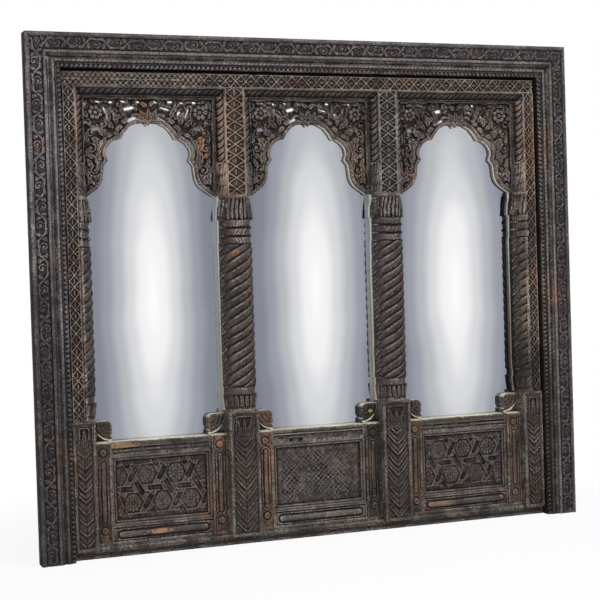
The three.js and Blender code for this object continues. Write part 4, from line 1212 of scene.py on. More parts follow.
# %% Rails
side_rail_profile = {
    0: -1.6, 1.2: -0.4, 2.5: 0, 15.5: -0.6, 17: -4.4, 20: -4.8, 21: -2.2, 24: -1.4, 26: -2.4, 27.5: -5,
    29: -5, 30: -2.8, 32.5: -2, 34: -3, 35: -5, 36: -5,
}
middle_rail_profile = {
    0: -1.6, 1.2: -0.6, 2.5: -0.3, 9.5: -0.8, 10.6: -3.6, 12: -0.3, 14: 0, 15.4: -0.8, 16.6: -3.4,
    19: -2.8, 33: -2.4, 34: -3.4, 36: -1.6,
}
# The sunk oblong as centre x, height, half its straight part and radius
SUNK_OBLONG = (-65, 258, 14, 5)
BAR_MIDDLE, BAR_RADIUS, BAR_END, RAIL_GROUND = 53, 8, 22, -4
bar_profile = {0: 4, 3: 3.6, 6: 2.4, BAR_RADIUS: 0.4, 8.6: -3.4, 10.8: -3.4, 11.6: 0.2, 13.4: 0.8}
over_bar_profile = {68: 0.4, 68.8: -2.6, 70.6: -2.6, 71.4: 1.2, 75: 1.4}
under_bar_profile = {31: 1.8, 36: 1.6, 37.4: -1.4, 38: -1.4}


def top_rail_carving(middle, seed, profile):
    def carving(x, z):
        drop = unit_top - z + 0.9 * mottle(x, z, 60, seed)
        height = section(profile, drop)
        if profile is middle_rail_profile:
            at_x, at_z, reach, radius = SUNK_OBLONG
            u = x - middle - at_x
            away = np.hypot(u - np.clip(u, -reach, reach), z - at_z)
            height = np.where(away < radius, -6.5, np.where(away < radius + 2, -1.6, height))
        return np.minimum(softened(height, -1.4, x, z, seed) + 1.1 * age(x, z, seed + 1, "x"), 0)

    return carving


def bottom_rail_carving(middle, reach, seed):
    def carving(x, z):
        u = x - middle
        v = z + 0.6 * mottle(x, z, 60, seed)
        end = reach - BAR_END
        height = section(bar_profile, np.hypot(u - np.clip(u, -end, end), v - BAR_MIDDLE))
        height = np.where(v > min(over_bar_profile), section(over_bar_profile, v), height)
        height = np.where(v < max(under_bar_profile), section(under_bar_profile, v), height)
        height = softened(height, 0.4, x, z, seed)
        return np.minimum(RAIL_GROUND + height + 0.9 * age(x, z, seed + 1, "x"), 0)

    return carving


for bay, (middle, half) in units.items():
    seed = 200 + int(middle)
    profile = middle_rail_profile if bay == "middle" else side_rail_profile
    replace_node(f"top_rail_{bay}_bay", "worn_wood", top_rail_carving(middle, seed, profile), cell=1.4)
    carving = bottom_rail_carving(middle, half - STILE_WIDTH - SEAM, seed + 2)
    replace_node(f"bottom_rail_{bay}_bay", "worn_wood", carving, cell=1.5)
print("rails:", [len(piece.data.polygons) for piece in made[-6:]])

# %% [markdown]
# ## Lower panels: carved fields
# The side bays carry straps that cross in three directions, with a flower in each hexagon
# and a sunk slot in the upper strap of each crossing. The middle bay carries a fine diagonal
# net with a small flower or cross in every mesh. Both are old geometric patterns that are
# drawn with compass and rule, and both are worn nearly smooth close to the moulding. The
# formulas repeat what the compass did, so the lines stay true at any fineness of the grid.

# %% Panel patterns
HEX_SPACING, HEX_ROW, STRAP_HALF, SLOT_REACH, SLOT_SIDE = 76, 70, 9, 18, 6.2
NET_PITCH = 19.5
# The carved field begins inside the moulding, sunk by its depth, and is worn up to its edge wear
FIELD_FROM, FIELD_DEPTH, CARVED_TOP = 14.6, 7.6, 0.6
EDGE_WEAR, EDGE_WEAR_SOFT, MOST_EDGE_WEAR = 27, 8, 0.7
panel_moulding = {0: -0.8, 1.5: 0, 5: -0.4, 6: -3, 8: -3.1, 9.2: -1.8, 11.5: -3.6, 13: -7.6, 15: -9.4}
strap_profile = {0: 0.7, 4.6: 0.7, 5.6: 1.9, 6.4: 2.3, 7.4: 2.3, 8.4: 1.7, STRAP_HALF: -0.9}


def from_nearest(value, pitch):
    """The signed distance to the nearest multiple of a pitch."""
    return (value + pitch / 2) % pitch - pitch / 2


def aster(u, v):
    """A low flower with two rings of fine petals."""
    r, a = np.hypot(u, v), np.arctan2(v, u)
    outer = ridge(r - 16, 6, 1) * (0.3 + 0.7 * np.abs(np.cos(6 * a)))
    inner = ridge(r - 8, 3.6, 1) * (0.3 + 0.7 * np.abs(np.cos(4 * a)))
    return np.maximum.reduce([2.6 * outer, 2.6 * inner, ridge(r, 3, 3)])


def hexagons(u, v):
    """Straps cross in three directions like a cane seat and leave hexagons, each with a flower.

    Where two straps cross, the upper one has a sunk slot. Each direction is on top at every
    second crossing, so its crossings lie on the same grid as the flowers, moved by half a step.
    """
    rise = HEX_SPACING * math.sqrt(0.75)
    v = v * rise / HEX_ROW
    row = np.round((v - rise / 2) / rise)
    from_u = from_nearest(u - row * HEX_SPACING / 2, HEX_SPACING)
    height = aster(from_u, v - rise / 2 - row * rise) - 1.6
    sunk = np.full(u.shape, False)
    for angle, over_u, over_v in ((0, 1 / 4, 0), (60, 1 / 2, rise / 2), (120, -1 / 4, 0)):
        c, s = math.cos(math.radians(angle)), math.sin(math.radians(angle))
        at_u, at_v = u - over_u * HEX_SPACING, v - over_v
        line = np.round((at_v * c - at_u * s) / rise)
        across = np.abs(at_v * c - at_u * s - line * rise)
        along = from_nearest(at_u * c + at_v * s - line * HEX_SPACING / 2, HEX_SPACING)
        strap = np.maximum(height, section(strap_profile, across))
        height = np.where(across < STRAP_HALF, strap, height)
        sunk = sunk | ((across < SLOT_SIDE) & (np.abs(along - across * 0.58) < SLOT_REACH))
    return np.where(sunk, -2.9, height)


def net(u, v):
    """Height of the diagonal net, with six petals and a cross by turns in its meshes."""
    p, q = (u + v) / math.sqrt(2), (u - v) / math.sqrt(2)
    cell_p, cell_q = (p / NET_PITCH) % 1 - 0.5, (q / NET_PITCH) % 1 - 0.5
    edge = (0.5 - np.maximum(np.abs(cell_p), np.abs(cell_q))) * NET_PITCH
    which = np.floor(p / NET_PITCH) + np.floor(q / NET_PITCH)
    r, a = np.hypot(cell_p, cell_q) * NET_PITCH, np.arctan2(cell_q, cell_p)
    six = np.abs(np.cos(3 * a + which))
    petals = ridge(r - 4.6, 2.8, 1) * (0.2 + 0.8 * six) * 2.8
    bloom = np.maximum(petals, ridge(r, 1.8, 3.0))
    cross = ridge(np.minimum(np.abs(cell_p), np.abs(cell_q)) * NET_PITCH, 1.5, 2.8) * (r < 8.5)
    star = np.maximum(cross, ridge(r, 3, 3))
    strap = ridge(edge, 1.5, 2.9)
    return 0.8 * np.maximum(np.where(which % 2 == 0, bloom, star), strap) - 1.6 + 0.5 * mottle(u, v, 7, 3)


def panel_carving(middle, low, high, reach, pattern, shift, seed):
    def carving(x, z):
        u = x - middle - shift + 1.2 * mottle(x, z, 45, seed)
        v = z - (low + high) / 2 + 1.0 * mottle(x, z, 45, seed + 1)
        edge = np.minimum(reach - np.abs(x - middle), np.minimum(z - low, high - z))
        worn_edge = 1 - soft_step(edge, EDGE_WEAR, EDGE_WEAR_SOFT)
        carved = softened(pattern(u, v), CARVED_TOP, x, z, seed, least=0.4)
        carved = carved - np.minimum(carved - CARVED_TOP, 0) * MOST_EDGE_WEAR * worn_edge
        moulding = softened(section(panel_moulding, edge), -3, x, z, seed, least=0.6)
        height = np.where(edge > FIELD_FROM, carved - FIELD_DEPTH, moulding)
        return np.minimum(height + 0.8 * age(x, z, seed + 2), 0)

    return carving


for bay, (middle, half) in units.items():
    node = f"carved_panel_{bay}"
    xs, _, (low, high) = box_mm(node)
    pattern = net if bay == "middle" else hexagons
    shift = HEX_SPACING / 2 if bay == "left" else 0
    reach = (xs[1] - xs[0]) / 2
    carving = panel_carving(middle, low, high, reach, pattern, shift, 230 + int(middle))
    replace_node(node, "carved_wood", carving, cell=1.4)
print("panels:", [len(piece.data.polygons) for piece in made[-3:]])

# %% [markdown]
# ## Plinth
# The whole front stands on one board, and a sill with a worn bevel lies on it under each
# panel. Cubes with a bevel would do, but age has knocked and rounded the edges, so these
# boards are carved from the same blanks as the rest.

# %% Plinth
plinth_xs, (sill_front, plinth_back), (floor_z, sill_top) = box_mm("plinth")
PLINTH_FRONT, PLINTH_TOP = 35, pedestal_base
board_profile = {0: -2.4, 1: -0.8, 2.6: 0}
bevel_profile = {0: 0, 4.4: -0.3, 9: -9}


def plinth_carving(x, z):
    edge = np.minimum(z - floor_z, PLINTH_TOP - z)
    return np.minimum(section(board_profile, edge) + 1.5 * age(x, z, 260, "x"), 0)


def sill_carving(x, z):
    return np.minimum(section(bevel_profile, z - PLINTH_TOP) + 1.2 * age(x, z, 264, "x"), 0)


board_span = (plinth_xs, (PLINTH_FRONT, plinth_back), (floor_z, PLINTH_TOP))
plinth = carved_board("carved_plinth", board_span, plinth_carving, cell=1.8)
sills = []
for bay, (middle, half) in units.items():
    xs = (middle - half + SEAM, middle + half - SEAM)
    span = (xs, (sill_front, CARVED_BACK), (PLINTH_TOP - OVERLAP, sill_top))
    sills.append(carved_board(f"sill_{bay}", span, sill_carving, cell=1.5))
settle(join_into(plinth, *sills), "dark_wood", "plinth")
print("plinth:", len(plinth.data.polygons), "faces;", len(made), "pieces in all")
print("triangles:", sum(len(p.vertices) - 2 for piece in made for p in piece.data.polygons))

# %% [markdown]
# ## Finishes
# A material is a small graph of nodes. One function adds a node with its settings and its
# links, and one turns a colour that is written as on a paint chart into Blender's values.
# The tree for the wood is built once and takes its colours and sizes as values.

# %% Node helpers
def paint(colour):
    """An sRGB hex colour as linear red, green, blue and alpha."""
    parts = [int(colour[i:i + 2], 16) / 255 for i in (1, 3, 5)]
    return [*(v / 12.92 if v <= 0.04045 else ((v + 0.055) / 1.055) ** 2.4 for v in parts), 1]


def add(tree, kind, links=(), **settings):
    """Adds one node. links is a dict of an input, by name or number, to a socket or a value."""
    node = tree.nodes.new("ShaderNode" + kind)
    for key, value in settings.items():
        setattr(node, key, value)
    for key, value in dict(links).items():
        socket = node.inputs[key]
        if isinstance(value, bpy.types.NodeSocket):
            tree.links.new(value, socket)
        else:
            socket.default_value = value
    return node


def new_material(name):
    material = bpy.data.materials.new(name)
    material.use_nodes = True
    material.node_tree.nodes.clear()
    return material, material.node_tree


def mix_colour(tree, share, first, second):
    return add(tree, "Mix", {0: share, 6: first, 7: second}, data_type="RGBA").outputs[2]


def spread(tree, value, low, high, to_low=0.0, to_high=1.0):
    """Maps a value from one span to another, with soft ends, and holds it inside."""
    links = {0: value, 1: low, 2: high, 3: to_low, 4: to_high}
    return add(tree, "MapRange", links, interpolation_type="SMOOTHSTEP").outputs[0]


def calculate(tree, how, first, second=0.0):
    return add(tree, "Math", {0: first, 1: second}, operation=how).outputs[0]


def times(tree, first, second):
    return calculate(tree, "MULTIPLY", first, second)


def tinted(tree, colour, share, most, tint):
    """Lays a paint over a colour where the share is 1, at most that strongly."""
    return mix_colour(tree, times(tree, share, most), colour, paint(tint))


def reach_from_origin(tree, place, move, stretch):
    """How far a place lies from the origin once it is stretched and then moved."""
    moved = add(tree, "Mapping", {0: place, 1: move, 3: stretch})
    return add(tree, "VectorMath", {0: moved.outputs[0]}, operation="LENGTH").outputs["Value"]


def clouds(tree, place, size_mm, detail=3.0, stretch=(1, 1, 1)):
    """Noise with features of about a size in millimetres, stretched along an axis if asked."""
    mapping = add(tree, "Mapping", {0: place, 3: [1 / v for v in stretch]})
    noise = add(tree, "TexNoise", {0: mapping.outputs[0], 2: 1 / (size_mm * MM), 3: detail, 4: 0.6})
    return noise.outputs[0]


# %% [markdown]
# ## Old stained hardwood
# The wood is a dense brown hardwood, stained and waxed nearly black and then handled for
# a century. Raised work is worn to a warm grey brown. The ground between is painted near
# black, for soot and as painted shade. The sharpest edges are painted pale, for dust and as
# painted glints, and the wax gives them a narrow shine. Hands have rubbed some stretches to
# bare orange brown. The grain runs along each member. The wear and the painted shade are
# read from the two values that the carving left on the mesh, so they need no drawn mask.

# %% Wood material
DARK_FADE = 60


def old_wood(name, grain_axis, browns, wear, warmth, stains, pit="#191514", tops=0.0, tops_beyond=None,
             painted_shade_from=None, painted_shade_to=44, raw_from=None, raw_below=None,
             raws=("#e2dfca", "#e2dfca"), painted_light_on_tops=False, dark_below=None, patches=()):
    """Waxed, sooty and rubbed hardwood, with painted shade and painted highlights. Heights and
    set-backs are in millimetres.

    browns are the darkest and the palest worn stain, and pit is the ground between the work,
    which stands for soot and painted shade. wear sets how strongly the sharpest edges are
    painted pale, as dust and as painted glints. tops is how pale the highest work is painted,
    as rubbed wood and painted highlight, only beyond a place across if one is given. Painted
    shade, near black, covers the set-backs from painted_shade_from to painted_shade_to. Raw
    wood shows behind raw_from, only below the height raw_below if given, and raws are its
    colours low and high on the frame. painted_light_on_tops paints light on the faces that look
    up, and a member is darker and less dusty below dark_below. patches are old paint and bare
    places, as x, height, reach across, reach up and colour.
    """
    material, tree = new_material(name)
    place = add(tree, "TexCoord").outputs["Object"]
    place_x, set_back, height = add(tree, "SeparateXYZ", {0: place}).outputs
    proud = add(tree, "Attribute", attribute_name="proud").outputs["Fac"]
    level = add(tree, "Attribute", attribute_name="level").outputs["Fac"]
    stretch = {"x": (14, 1, 1), "z": (1, 1, 14)}[grain_axis]
    fibre = clouds(tree, place, 3.0, 4, stretch)
    fleck = clouds(tree, place, 9, 4)
    speck = clouds(tree, place, 3.5, 2)
    wear_and_shade_mask = calculate(tree, "ADD", level, spread(tree, fleck, 0.3, 0.7, -1.1, 0.9))
    # The stain, with olive and red stretches, over a black ground of soot and painted shade, and dark grain
    shade = spread(tree, clouds(tree, place, 70, 4), 0.38, 0.62)
    brown = mix_colour(tree, shade, paint(browns[0]), paint(browns[1]))
    olive = spread(tree, clouds(tree, place, 60, 3, (1, 1, 1.4)), 0.55, 0.68)
    brown = tinted(tree, brown, olive, 0.75 * stains, "#45443a")
    red = spread(tree, clouds(tree, place, 75, 3, (1.3, 1, 1)), 0.55, 0.7)
    brown = tinted(tree, brown, red, stains, "#583d35")
    colour = mix_colour(tree, spread(tree, wear_and_shade_mask, -2.6, 1.8), paint(pit), brown)
    colour = tinted(tree, colour, spread(tree, fibre, 0.5, 0.34), 0.6, "#171210")
    # Bare warm wood where hands rub, only in some stretches
    rub = clouds(tree, place, 120, 3, (1, 1, 1.5))
    zone = spread(tree, rub, 0.66 - 0.18 * warmth, 0.76 - 0.12 * warmth)
    rubbed = times(tree, times(tree, zone, spread(tree, wear_and_shade_mask, -1.0, 1.2)), spread(tree, speck, 0.25, 0.6))
    colour = tinted(tree, colour, rubbed, 0.75, "#82563a")
    # The highest work is painted pale, as rubbed wood and as painted highlight
    rubbed_and_highlit_work = times(tree, spread(tree, level, 1.2, 2.3), spread(tree, speck, 0.3, 0.6))
    if tops_beyond is not None:
        across = calculate(tree, "ABSOLUTE", place_x)
        beyond = spread(tree, across, (tops_beyond - 1) * MM, (tops_beyond + 1) * MM)
        rubbed_and_highlit_work = times(tree, rubbed_and_highlit_work, beyond)
    colour = tinted(tree, colour, rubbed_and_highlit_work, tops, "#938983")
    # Rests of paint and bare places, with ragged edges
    for at_x, at_z, reach_x, reach_z, tint in patches:
        move, stretch = (-at_x / reach_x, 0, -at_z / reach_z), (1 / (reach_x * MM), 0, 1 / (reach_z * MM))
        away = reach_from_origin(tree, place, move, stretch)
        ragged = calculate(tree, "ADD", away, spread(tree, fleck, 0.3, 0.7, -0.35, 0.35))
        share = times(tree, spread(tree, ragged, 1.0, 0.55), spread(tree, wear_and_shade_mask, -1.8, 0.4))
        colour = tinted(tree, colour, share, 0.8, tint)
    # Soot and painted shade in the narrow cuts, pale dust and painted glints on some of the narrow edges,
    # and a darker colour with less dust below a given height
    dust_and_glint_spread = spread(tree, clouds(tree, place, 45, 3), 0.4, 0.6, 0.25, 1.0)
    dust_and_glint = times(tree, times(tree, spread(tree, proud, 0.16, 0.7), spread(tree, speck, 0.38, 0.64)), dust_and_glint_spread)
    # Darker, with less dust, below a given height
    if dark_below is not None:
        dark_low, dark_high = (dark_below - DARK_FADE) * MM, (dark_below + DARK_FADE) * MM
        colour = tinted(tree, colour, spread(tree, height, dark_high, dark_low), 0.65, "#151211")
        dust_and_glint = times(tree, dust_and_glint, spread(tree, height, dark_low, dark_high, 0.4, 1))
    # Soot and painted shade: points that sink below the blurred mesh are darkened to near black
    colour = tinted(tree, colour, spread(tree, proud, -0.06, -0.5), 0.7, "#120f0e")
    # Pale dust and painted glints on the sharpest edges, as strong as wear asks
    colour = tinted(tree, colour, dust_and_glint, 0.85 * wear, "#a29a91")
    # Painted shade: the channels, side walls and cheeks between two set-backs are painted near black
    if painted_shade_from is not None:
        behind = spread(tree, set_back, y_at(painted_shade_to), y_at(painted_shade_to + 0.6), 1, 0)
        painted_shade_band = times(tree, spread(tree, set_back, y_at(painted_shade_from - 2), y_at(painted_shade_from + 2)), behind)
        colour = tinted(tree, colour, painted_shade_band, 0.9, "#0b0909")
    if raw_from is not None:
        raw = spread(tree, set_back, y_at(raw_from - 2), y_at(raw_from + 1))
        raw = times(tree, raw, spread(tree, fleck, 0.22, 0.42))
        if raw_below is not None:
            raw = times(tree, raw, spread(tree, height, raw_below * MM, (raw_below + 6) * MM, 1, 0))
        bare_wood = mix_colour(tree, spread(tree, height, 0.45, 0.8), paint(raws[0]), paint(raws[1]))
        colour = mix_colour(tree, times(tree, raw, 0.95), colour, bare_wood)
    # Painted light: faces that look up, from the top of the rails upwards, are painted pale cream as if lit
    # from above
    if painted_light_on_tops:
        facing = add(tree, "NewGeometry").outputs["Normal"]
        up = spread(tree, add(tree, "SeparateXYZ", {0: facing}).outputs[2], 0.32, 0.6)
        high = spread(tree, height, (unit_top - 3) * MM, (unit_top - 1) * MM)
        painted_top_light = times(tree, times(tree, up, high), spread(tree, fleck, 0.25, 0.42))
        colour = tinted(tree, colour, painted_top_light, 0.92, "#d2cfba")
    # Wax shines on worn work and is dull in the ground, and grain and pores catch the light
    rough = spread(tree, wear_and_shade_mask, -1.6, 1.0, 0.8, 0.4)
    grain = add(tree, "Bump", {"Strength": 0.45, "Distance": 0.4 * MM, "Height": fibre}).outputs[0]
    pores = add(tree, "Bump", {"Strength": 0.5, "Distance": 1.0 * MM, "Height": fleck, "Normal": grain})
    shader = add(tree, "BsdfPrincipled", {"Base Color": colour, "Roughness": rough,
                                          "Specular IOR Level": 0.14, "Normal": pores.outputs[0]})
    add(tree, "OutputMaterial", {0: shader.outputs[0]})
    return material


# Each kind of member by a word in its name, with the finish that its place has given it
kinds = {
    "outer_board_left": dict(
        browns=("#3f3a40", "#5a545c"), wear=0.8, warmth=0.3, stains=0.35, tops=1.0,
        tops_beyond=half_width - FIELD_HIGH, painted_shade_from=9, dark_below=FRESH_FROM),
    "outer_board": dict(
        browns=("#302b2e", "#454044"), wear=0.5, warmth=0.15, stains=0.35, tops=0.25, painted_shade_from=9),
    "bead_moulding_left": dict(
        browns=("#38373d", "#55555c"), wear=0.55, warmth=0.2, stains=0.25, tops=0.3, painted_shade_from=14,
        dark_below=490),
    "bead_moulding_right": dict(
        browns=("#2f2a2c", "#433c3f"), wear=0.5, warmth=0.25, stains=0.4, tops=0.3, painted_shade_from=14,
        dark_below=420),
    "bead_moulding": dict(
        browns=("#2f2a2c", "#433c3f"), wear=0.5, warmth=0.25, stains=0.4, tops=0.35, painted_shade_from=14),
    "plinth": dict(browns=("#241f1e", "#38312e"), wear=0.6, warmth=0.2, stains=0.4),
    "mullion_right": dict(browns=("#4b4645", "#696462"), wear=0.9, warmth=0.1, stains=0.3),
    "mullion": dict(browns=("#655246", "#8a7360"), wear=0.9, warmth=0.5, stains=0.4),
    "lattice_jamb_right": dict(
        browns=("#4a413d", "#6b5c53"), wear=0.7, warmth=0.5, stains=0.8, painted_shade_from=34, painted_shade_to=78,
        dark_below=450),
    "lattice": dict(
        browns=("#4f4642", "#71635b"), wear=0.8, warmth=0.4, stains=0.8, painted_shade_from=34, painted_shade_to=78),
    # The top lengths of rope get a darker copy of the rope finish, as painted shade on their slope that
    # faces down
    "rope_top": dict(browns=("#2c2828", "#423c3a"), wear=0.5, warmth=0.15, stains=0.3),
    "rope_right_of_middle": dict(browns=("#403b3e", "#5f575b"), wear=0.7, warmth=0.15, stains=0.5),
    "rope_right": dict(browns=("#5a4b44", "#846d5f"), wear=0.8, warmth=0.4, stains=0.5),
    "rope": dict(browns=("#453a38", "#5f534e"), wear=0.7, warmth=0.3, stains=0.7),
    "spandrel": dict(
        browns=("#413939", "#5b4e4b"), wear=0.75, warmth=0.6, stains=0.9, pit="#241e1c", raw_from=68,
        raw_below=springing + ARCH_RISE - 6),
    "column_side_right": dict(
        browns=("#483e39", "#685a50"), wear=1.2, warmth=0.3, stains=0.7, painted_shade_from=50, painted_shade_to=78,
        raw_from=68, raws=("#a8937d", "#dcdccb"), dark_below=490),
    "column": dict(
        browns=("#3d3637", "#584f4e"), wear=1.1, warmth=0.45, stains=0.9, raw_from=61,
        raws=("#c6b898", "#d0d7d2")),
    "pedestal": dict(browns=("#352e2c", "#4b423e"), wear=0.7, warmth=0, stains=0.6),
    "panel_middle": dict(browns=("#4e4845", "#675f5a"), wear=0.55, warmth=0.3, stains=0.6),
    "panel": dict(browns=("#453d3b", "#5b5350"), wear=0.45, warmth=0.25, stains=0.6),
    "stile_left_middle": dict(
        browns=("#523f34", "#735a48"), wear=0.7, warmth=1.2, stains=0.5, painted_light_on_tops=True),
    "stile_right_middle": dict(
        browns=("#232120", "#383431"), wear=0.45, warmth=0.5, stains=0.8, painted_light_on_tops=True),
    "stile": dict(browns=("#3d332f", "#5b4b41"), wear=0.6, warmth=0.9, stains=0.8, painted_light_on_tops=True),
    "rail_middle": dict(
        browns=("#4a4442", "#686059"), wear=1.0, warmth=0.5, stains=0.6, tops=0.3, painted_light_on_tops=True),
    "rail": dict(
        browns=("#3a3434", "#554e49"), wear=0.8, warmth=0.35, stains=0.8, tops=0.15, painted_light_on_tops=True),
}
# Places that the photograph shows bare or with a rest of old paint, after the kind that they lie on
worn_places = [
    ("rail", -545, 276, 62, 10, "#8f6f55"), ("rail", -441, 53, 34, 8, "#a07c5a"),
    ("rail", 352, 50, 46, 12, "#7f6850"), ("rail", 541, 60, 12, 7, "#96553c"),
    ("stile", -268, 300, 9, 15, "#40606b"), ("stile", -276, 266, 17, 20, "#8b5f45"),
    ("stile", 276, 264, 16, 18, "#6b5137"), ("stile_right_middle", 153, 319, 7, 5, "#bda24c"),
    ("stile_right_middle", 146, 180, 7, 60, "#66553e"), ("spandrel", -552, 1022, 12, 30, "#9a7350"),
    ("spandrel", -293, 1030, 16, 44, "#875a3c"), ("spandrel", -434, 1128, 34, 14, "#79583d"),
    ("column", -224, 750, 13, 14, "#8d5c3e"), ("rope", -626, 1085, 6, 62, "#8a6449"),
]
level_words = ("top", "head", "rail", "plinth", "spandrel")
finishes = {}
for piece in made:
    kind = next(word for word in kinds if word in piece.name)
    grain_axis = "x" if any(word in piece.name for word in level_words) else "z"
    if (kind, grain_axis) not in finishes:
        places = [place[1:] for place in worn_places if place[0] == kind]
        name = f"waxed_hardwood_{kind}_{grain_axis}"
        finishes[kind, grain_axis] = old_wood(name, grain_axis, patches=places, **kinds[kind])
    piece.data.materials.clear()
    piece.data.materials.append(finishes[kind, grain_axis])
print("wood on", len(made), "pieces in", len(finishes), "finishes")

# %% [markdown]
# ## Silvered glass
# The panes are modern float glass with a silvered back. Polished silver is a metal with
# almost no roughness. A broad pale band up the middle of each pane falls off to blue grey at
# both sides: it is a painted reflection, carried by the colour of the silver. The painted
# reflection is palest over the arches. Beside the column at the right of two panes the silver
# is rougher, and its colour is painted lighter as a reflection of the column's cheek.

# %% Mirror material
REFLECTION_BAND_HEIGHT, REFLECTION_BAND_STRETCH = 650, 5
CHEEK_STRIP_EDGE, CHEEK_STRIP_FADE, CHEEK_STRIP_ROUGHNESS, BRIGHT_RISE = 14, 4, 0.5, 22
# Colours of the painted reflection band by the distance from its middle in millimetres
reflection_band_stops = {
    0: "#fdfdfd", 30: "#f2f2f2", 60: "#d7d8db", 90: "#b6b9be", 120: "#9a9da7", 150: "#848893",
    200: "#70737e",
}


def silvered_glass(name, middle, width, edge, cheek_strip_strength):
    """middle is the axis of the painted reflection band, and width its share of the usual width.
    edge is the place of the member at the right, beside which the silver is rougher and painted
    lighter as a reflection of the member's cheek."""
    material, tree = new_material(name)
    place = add(tree, "TexCoord").outputs["Object"]
    # Painted reflection: distance from the middle of the band, with the height drawn together
    move = (-middle * MM / width, 0, -REFLECTION_BAND_HEIGHT * MM / REFLECTION_BAND_STRETCH)
    away = reach_from_origin(tree, place, move, (1 / width, 0, 1 / REFLECTION_BAND_STRETCH))
    haze = spread(tree, clouds(tree, place, 180, 1), 0.3, 0.7, -0.004, 0.004)
    away = calculate(tree, "ADD", away, haze)
    reach = max(reflection_band_stops)
    share = add(tree, "MapRange", {0: away, 1: 0, 2: reach * MM}).outputs[0]
    ramp = add(tree, "ValToRGB", {0: share})
    elements = ramp.color_ramp.elements
    while len(elements) < len(reflection_band_stops):
        elements.new(0.5)
    for element, (at, colour) in zip(elements, sorted(reflection_band_stops.items())):
        element.position, element.color = at / reach, paint(colour)
    ramp.color_ramp.interpolation = "EASE"
    faint = spread(tree, clouds(tree, place, 30, 2), 0.2, 0.8, 0.01, 0.03)
    across, _, up = add(tree, "SeparateXYZ", {0: place}).outputs
    # Beside the column the silver is rougher, and its colour is painted lighter as a reflection of the
    # column's cheek
    clear_silver_to, cheek_strip_from = edge - CHEEK_STRIP_EDGE - CHEEK_STRIP_FADE, edge - CHEEK_STRIP_EDGE + CHEEK_STRIP_FADE
    cheek_strip = spread(tree, across, clear_silver_to * MM, cheek_strip_from * MM, 0, cheek_strip_strength)
    rough = calculate(tree, "MAXIMUM", faint, times(tree, cheek_strip, CHEEK_STRIP_ROUGHNESS))
    painted_reflection_colour = mix_colour(tree, cheek_strip, ramp.outputs[0], paint("#a4a8ae"))
    # Painted reflection: over the arches the colour of the silver turns near white
    arch_top = springing + ARCH_RISE
    over_arch = spread(tree, up, arch_top * MM, (arch_top + BRIGHT_RISE) * MM)
    painted_reflection_colour = mix_colour(tree, over_arch, painted_reflection_colour, paint("#f4f5f6"))
    shader = add(tree, "BsdfPrincipled", {"Base Color": painted_reflection_colour, "Metallic": 1.0, "Roughness": rough})
    add(tree, "OutputMaterial", {0: shader.outputs[0]})
    return material


# For each pane: shift and width of the painted reflection band, axis of the member at its right, and how
# strongly the rougher strip with the painted cheek reflection shows there
pane_looks = {
    "left": (2, 1, -mullion_x, 1),
    "middle": (15, 1.04, mullion_x, 1),
    "right": (-5, 1.12, side_centre, 0),
}
for bay, (shift, width, member_x, cheek_strip_strength) in pane_looks.items():
    pane = nodes[f"mirror_pane_{bay}"]
    pane.data.materials.clear()
    name, axis = f"silvered_glass_{bay}", bays[bay][0] + shift
    pane.data.materials.append(silvered_glass(name, axis, width, member_x - BACK_HALF, cheek_strip_strength))
print("silvered glass on", len(pane_looks), "panes")

# %% [markdown]
# ## Back, ledge and hangers
# The back is a raw softwood board, which is paler and has a wide sawn grain. The hanger
# plates are pressed and brushed steel, and their grain runs along the plate.

# %% Plain board and steel
def sawn_softwood(name, grain_axis):
    material, tree = new_material(name)
    place = add(tree, "TexCoord").outputs["Object"]
    stretch = {"x": (10, 1, 1), "z": (1, 1, 10)}[grain_axis]
    rings = clouds(tree, place, 14, 3, stretch)
    saw_marks = clouds(tree, place, 2.5, 2, stretch)
    stain = clouds(tree, place, 220, 3)
    colour = mix_colour(tree, spread(tree, rings, 0.35, 0.65), paint("#8a7355"), paint("#6e583f"))
    colour = tinted(tree, colour, spread(tree, saw_marks, 0.45, 0.75), 0.5, "#5a4632")
    colour = tinted(tree, colour, spread(tree, stain, 0.5, 0.75), 0.45, "#54483a")
    bump = add(tree, "Bump", {"Strength": 0.4, "Distance": 0.5 * MM, "Height": saw_marks}).outputs[0]
    shader = add(tree, "BsdfPrincipled", {"Base Color": colour, "Roughness": 0.82, "Normal": bump})
    add(tree, "OutputMaterial", {0: shader.outputs[0]})
    return material


def brushed_steel(name):
    material, tree = new_material(name)
    place = add(tree, "TexCoord").outputs["Object"]
    lines = clouds(tree, place, 0.6, 2, (1, 1, 40))
    tarnish = spread(tree, clouds(tree, place, 12, 3), 0.4, 0.75)
    colour = mix_colour(tree, tarnish, paint("#9a9c9f"), paint("#6f6c68"))
    rough = spread(tree, lines, 0.3, 0.7, 0.26, 0.44)
    bump = add(tree, "Bump", {"Strength": 0.2, "Distance": 0.1 * MM, "Height": lines}).outputs[0]
    shader = add(tree, "BsdfPrincipled", {"Base Color": colour, "Metallic": 1.0, "Roughness": rough,
                                          "Normal": bump})
    add(tree, "OutputMaterial", {0: shader.outputs[0]})
    return material


# The finish of each plain piece, by the start of its name
plain_finishes = {
    "back_board": sawn_softwood("sawn_softwood_back", "z"),
    "pane_ledge": sawn_softwood("sawn_softwood_ledge", "x"),
    "hanger": brushed_steel("brushed_steel"),
}
for name, node in nodes.items():
    for start, finish in plain_finishes.items():
        if name.startswith(start):
            node.data.materials.clear()
            node.data.materials.append(finish)
print("plain finishes:", [finish.name for finish in plain_finishes.values()])

# %% [markdown]
# ## Floor, backdrop and light
# A white floor takes the shadow close to the object and turns to plain white further out,
# so that no horizon shows. In the panes it is white all over. Two large soft lamps give most
# of the light: the main one high on the right, a weaker one on the left.

# %% Stage
FLOOR_SIZE, FLOOR_DROP = 60, 0.0006
FADE_FROM, FADE_TO = 0.7, 1.3


def seen_bare(tree, path):
    """1 for the rays that see the surroundings in a mirror or through glass."""
    return calculate(tree, "MAXIMUM", path["Is Glossy Ray"], path["Is Transmission Ray"])


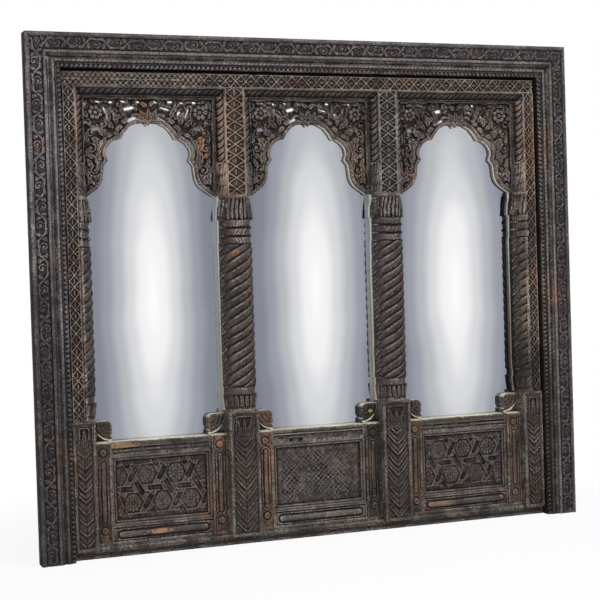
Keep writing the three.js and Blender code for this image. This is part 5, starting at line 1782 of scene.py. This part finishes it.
bpy.ops.object.select_all(action="DESELECT")
bpy.ops.mesh.primitive_plane_add(size=FLOOR_SIZE, location=(0, 0, -FLOOR_DROP))
floor = bpy.context.object
floor.name = "floor"
material, tree = new_material("matt_white_floor")
place = add(tree, "TexCoord").outputs["Object"]
far = reach_from_origin(tree, place, (0, 0, 0), (1, 1, 0))
path = add(tree, "LightPath").outputs
camera_far = times(tree, path["Is Camera Ray"], spread(tree, far, FADE_FROM, FADE_TO, 0.9, 1.0))
plain = calculate(tree, "MAXIMUM", seen_bare(tree, path), camera_far)
chalk = add(tree, "BsdfDiffuse", {0: paint("#f4f4f4")})
white = add(tree, "Emission", {0: (1, 1, 1, 1), 1: 1.0})
both = add(tree, "MixShader", {0: plain, 1: chalk.outputs[0], 2: white.outputs[0]})
add(tree, "OutputMaterial", {0: both.outputs[0]})
floor.data.materials.append(material)

# %% [markdown]
# ## World and lamps
# Polished silver shows what stands before it, and here that is plain white. A world that is
# seen at full strength but lights weakly does both jobs, and leaves the modelling of the
# carving to the lamps. They are wide, so the shadows in the cuts are dark but soft.

# %% World and lamps
WORLD_LIGHT = 0.26
world = bpy.data.worlds.new("studio")
bpy.context.scene.world = world
world.use_nodes = True
tree = world.node_tree
tree.nodes.clear()
path = add(tree, "LightPath").outputs
seen = calculate(tree, "MAXIMUM", seen_bare(tree, path), path["Is Camera Ray"])
soft = add(tree, "Background", {0: (1, 1, 1, 1), 1: WORLD_LIGHT})
white = add(tree, "Background", {0: (1, 1, 1, 1), 1: 1.0})
both = add(tree, "MixShader", {0: seen, 1: soft.outputs[0], 2: white.outputs[0]})
add(tree, "OutputWorld", {0: both.outputs[0]})


def lamp(name, at, aim, size, power):
    """A square area lamp that is turned to face a point."""
    bpy.ops.object.light_add(type="AREA", location=at)
    light = bpy.context.object
    light.name = name
    light.data.shape, light.data.size, light.data.energy = "SQUARE", size, power
    direction = np.array(aim) - np.array(at)
    flat_reach = math.hypot(direction[0], direction[1])
    turn_round = math.atan2(-direction[0], direction[1])
    light.rotation_euler = (math.atan2(flat_reach, -direction[2]), 0, turn_round)


centre = (0, 0, top_z / 2 * MM)
lamp("main_softbox", (1.3, -3.0, 3.1), centre, 1.3, 118)
lamp("left_softbox", (-2.4, -3.0, 1.3), centre, 1.2, 55)

# %% [markdown]
# ## Size and the end
# The carved model must stay inside the box of the solids. At the end the selection is
# cleared.

# %% Finish
bpy.ops.object.select_all(action="DESELECT")
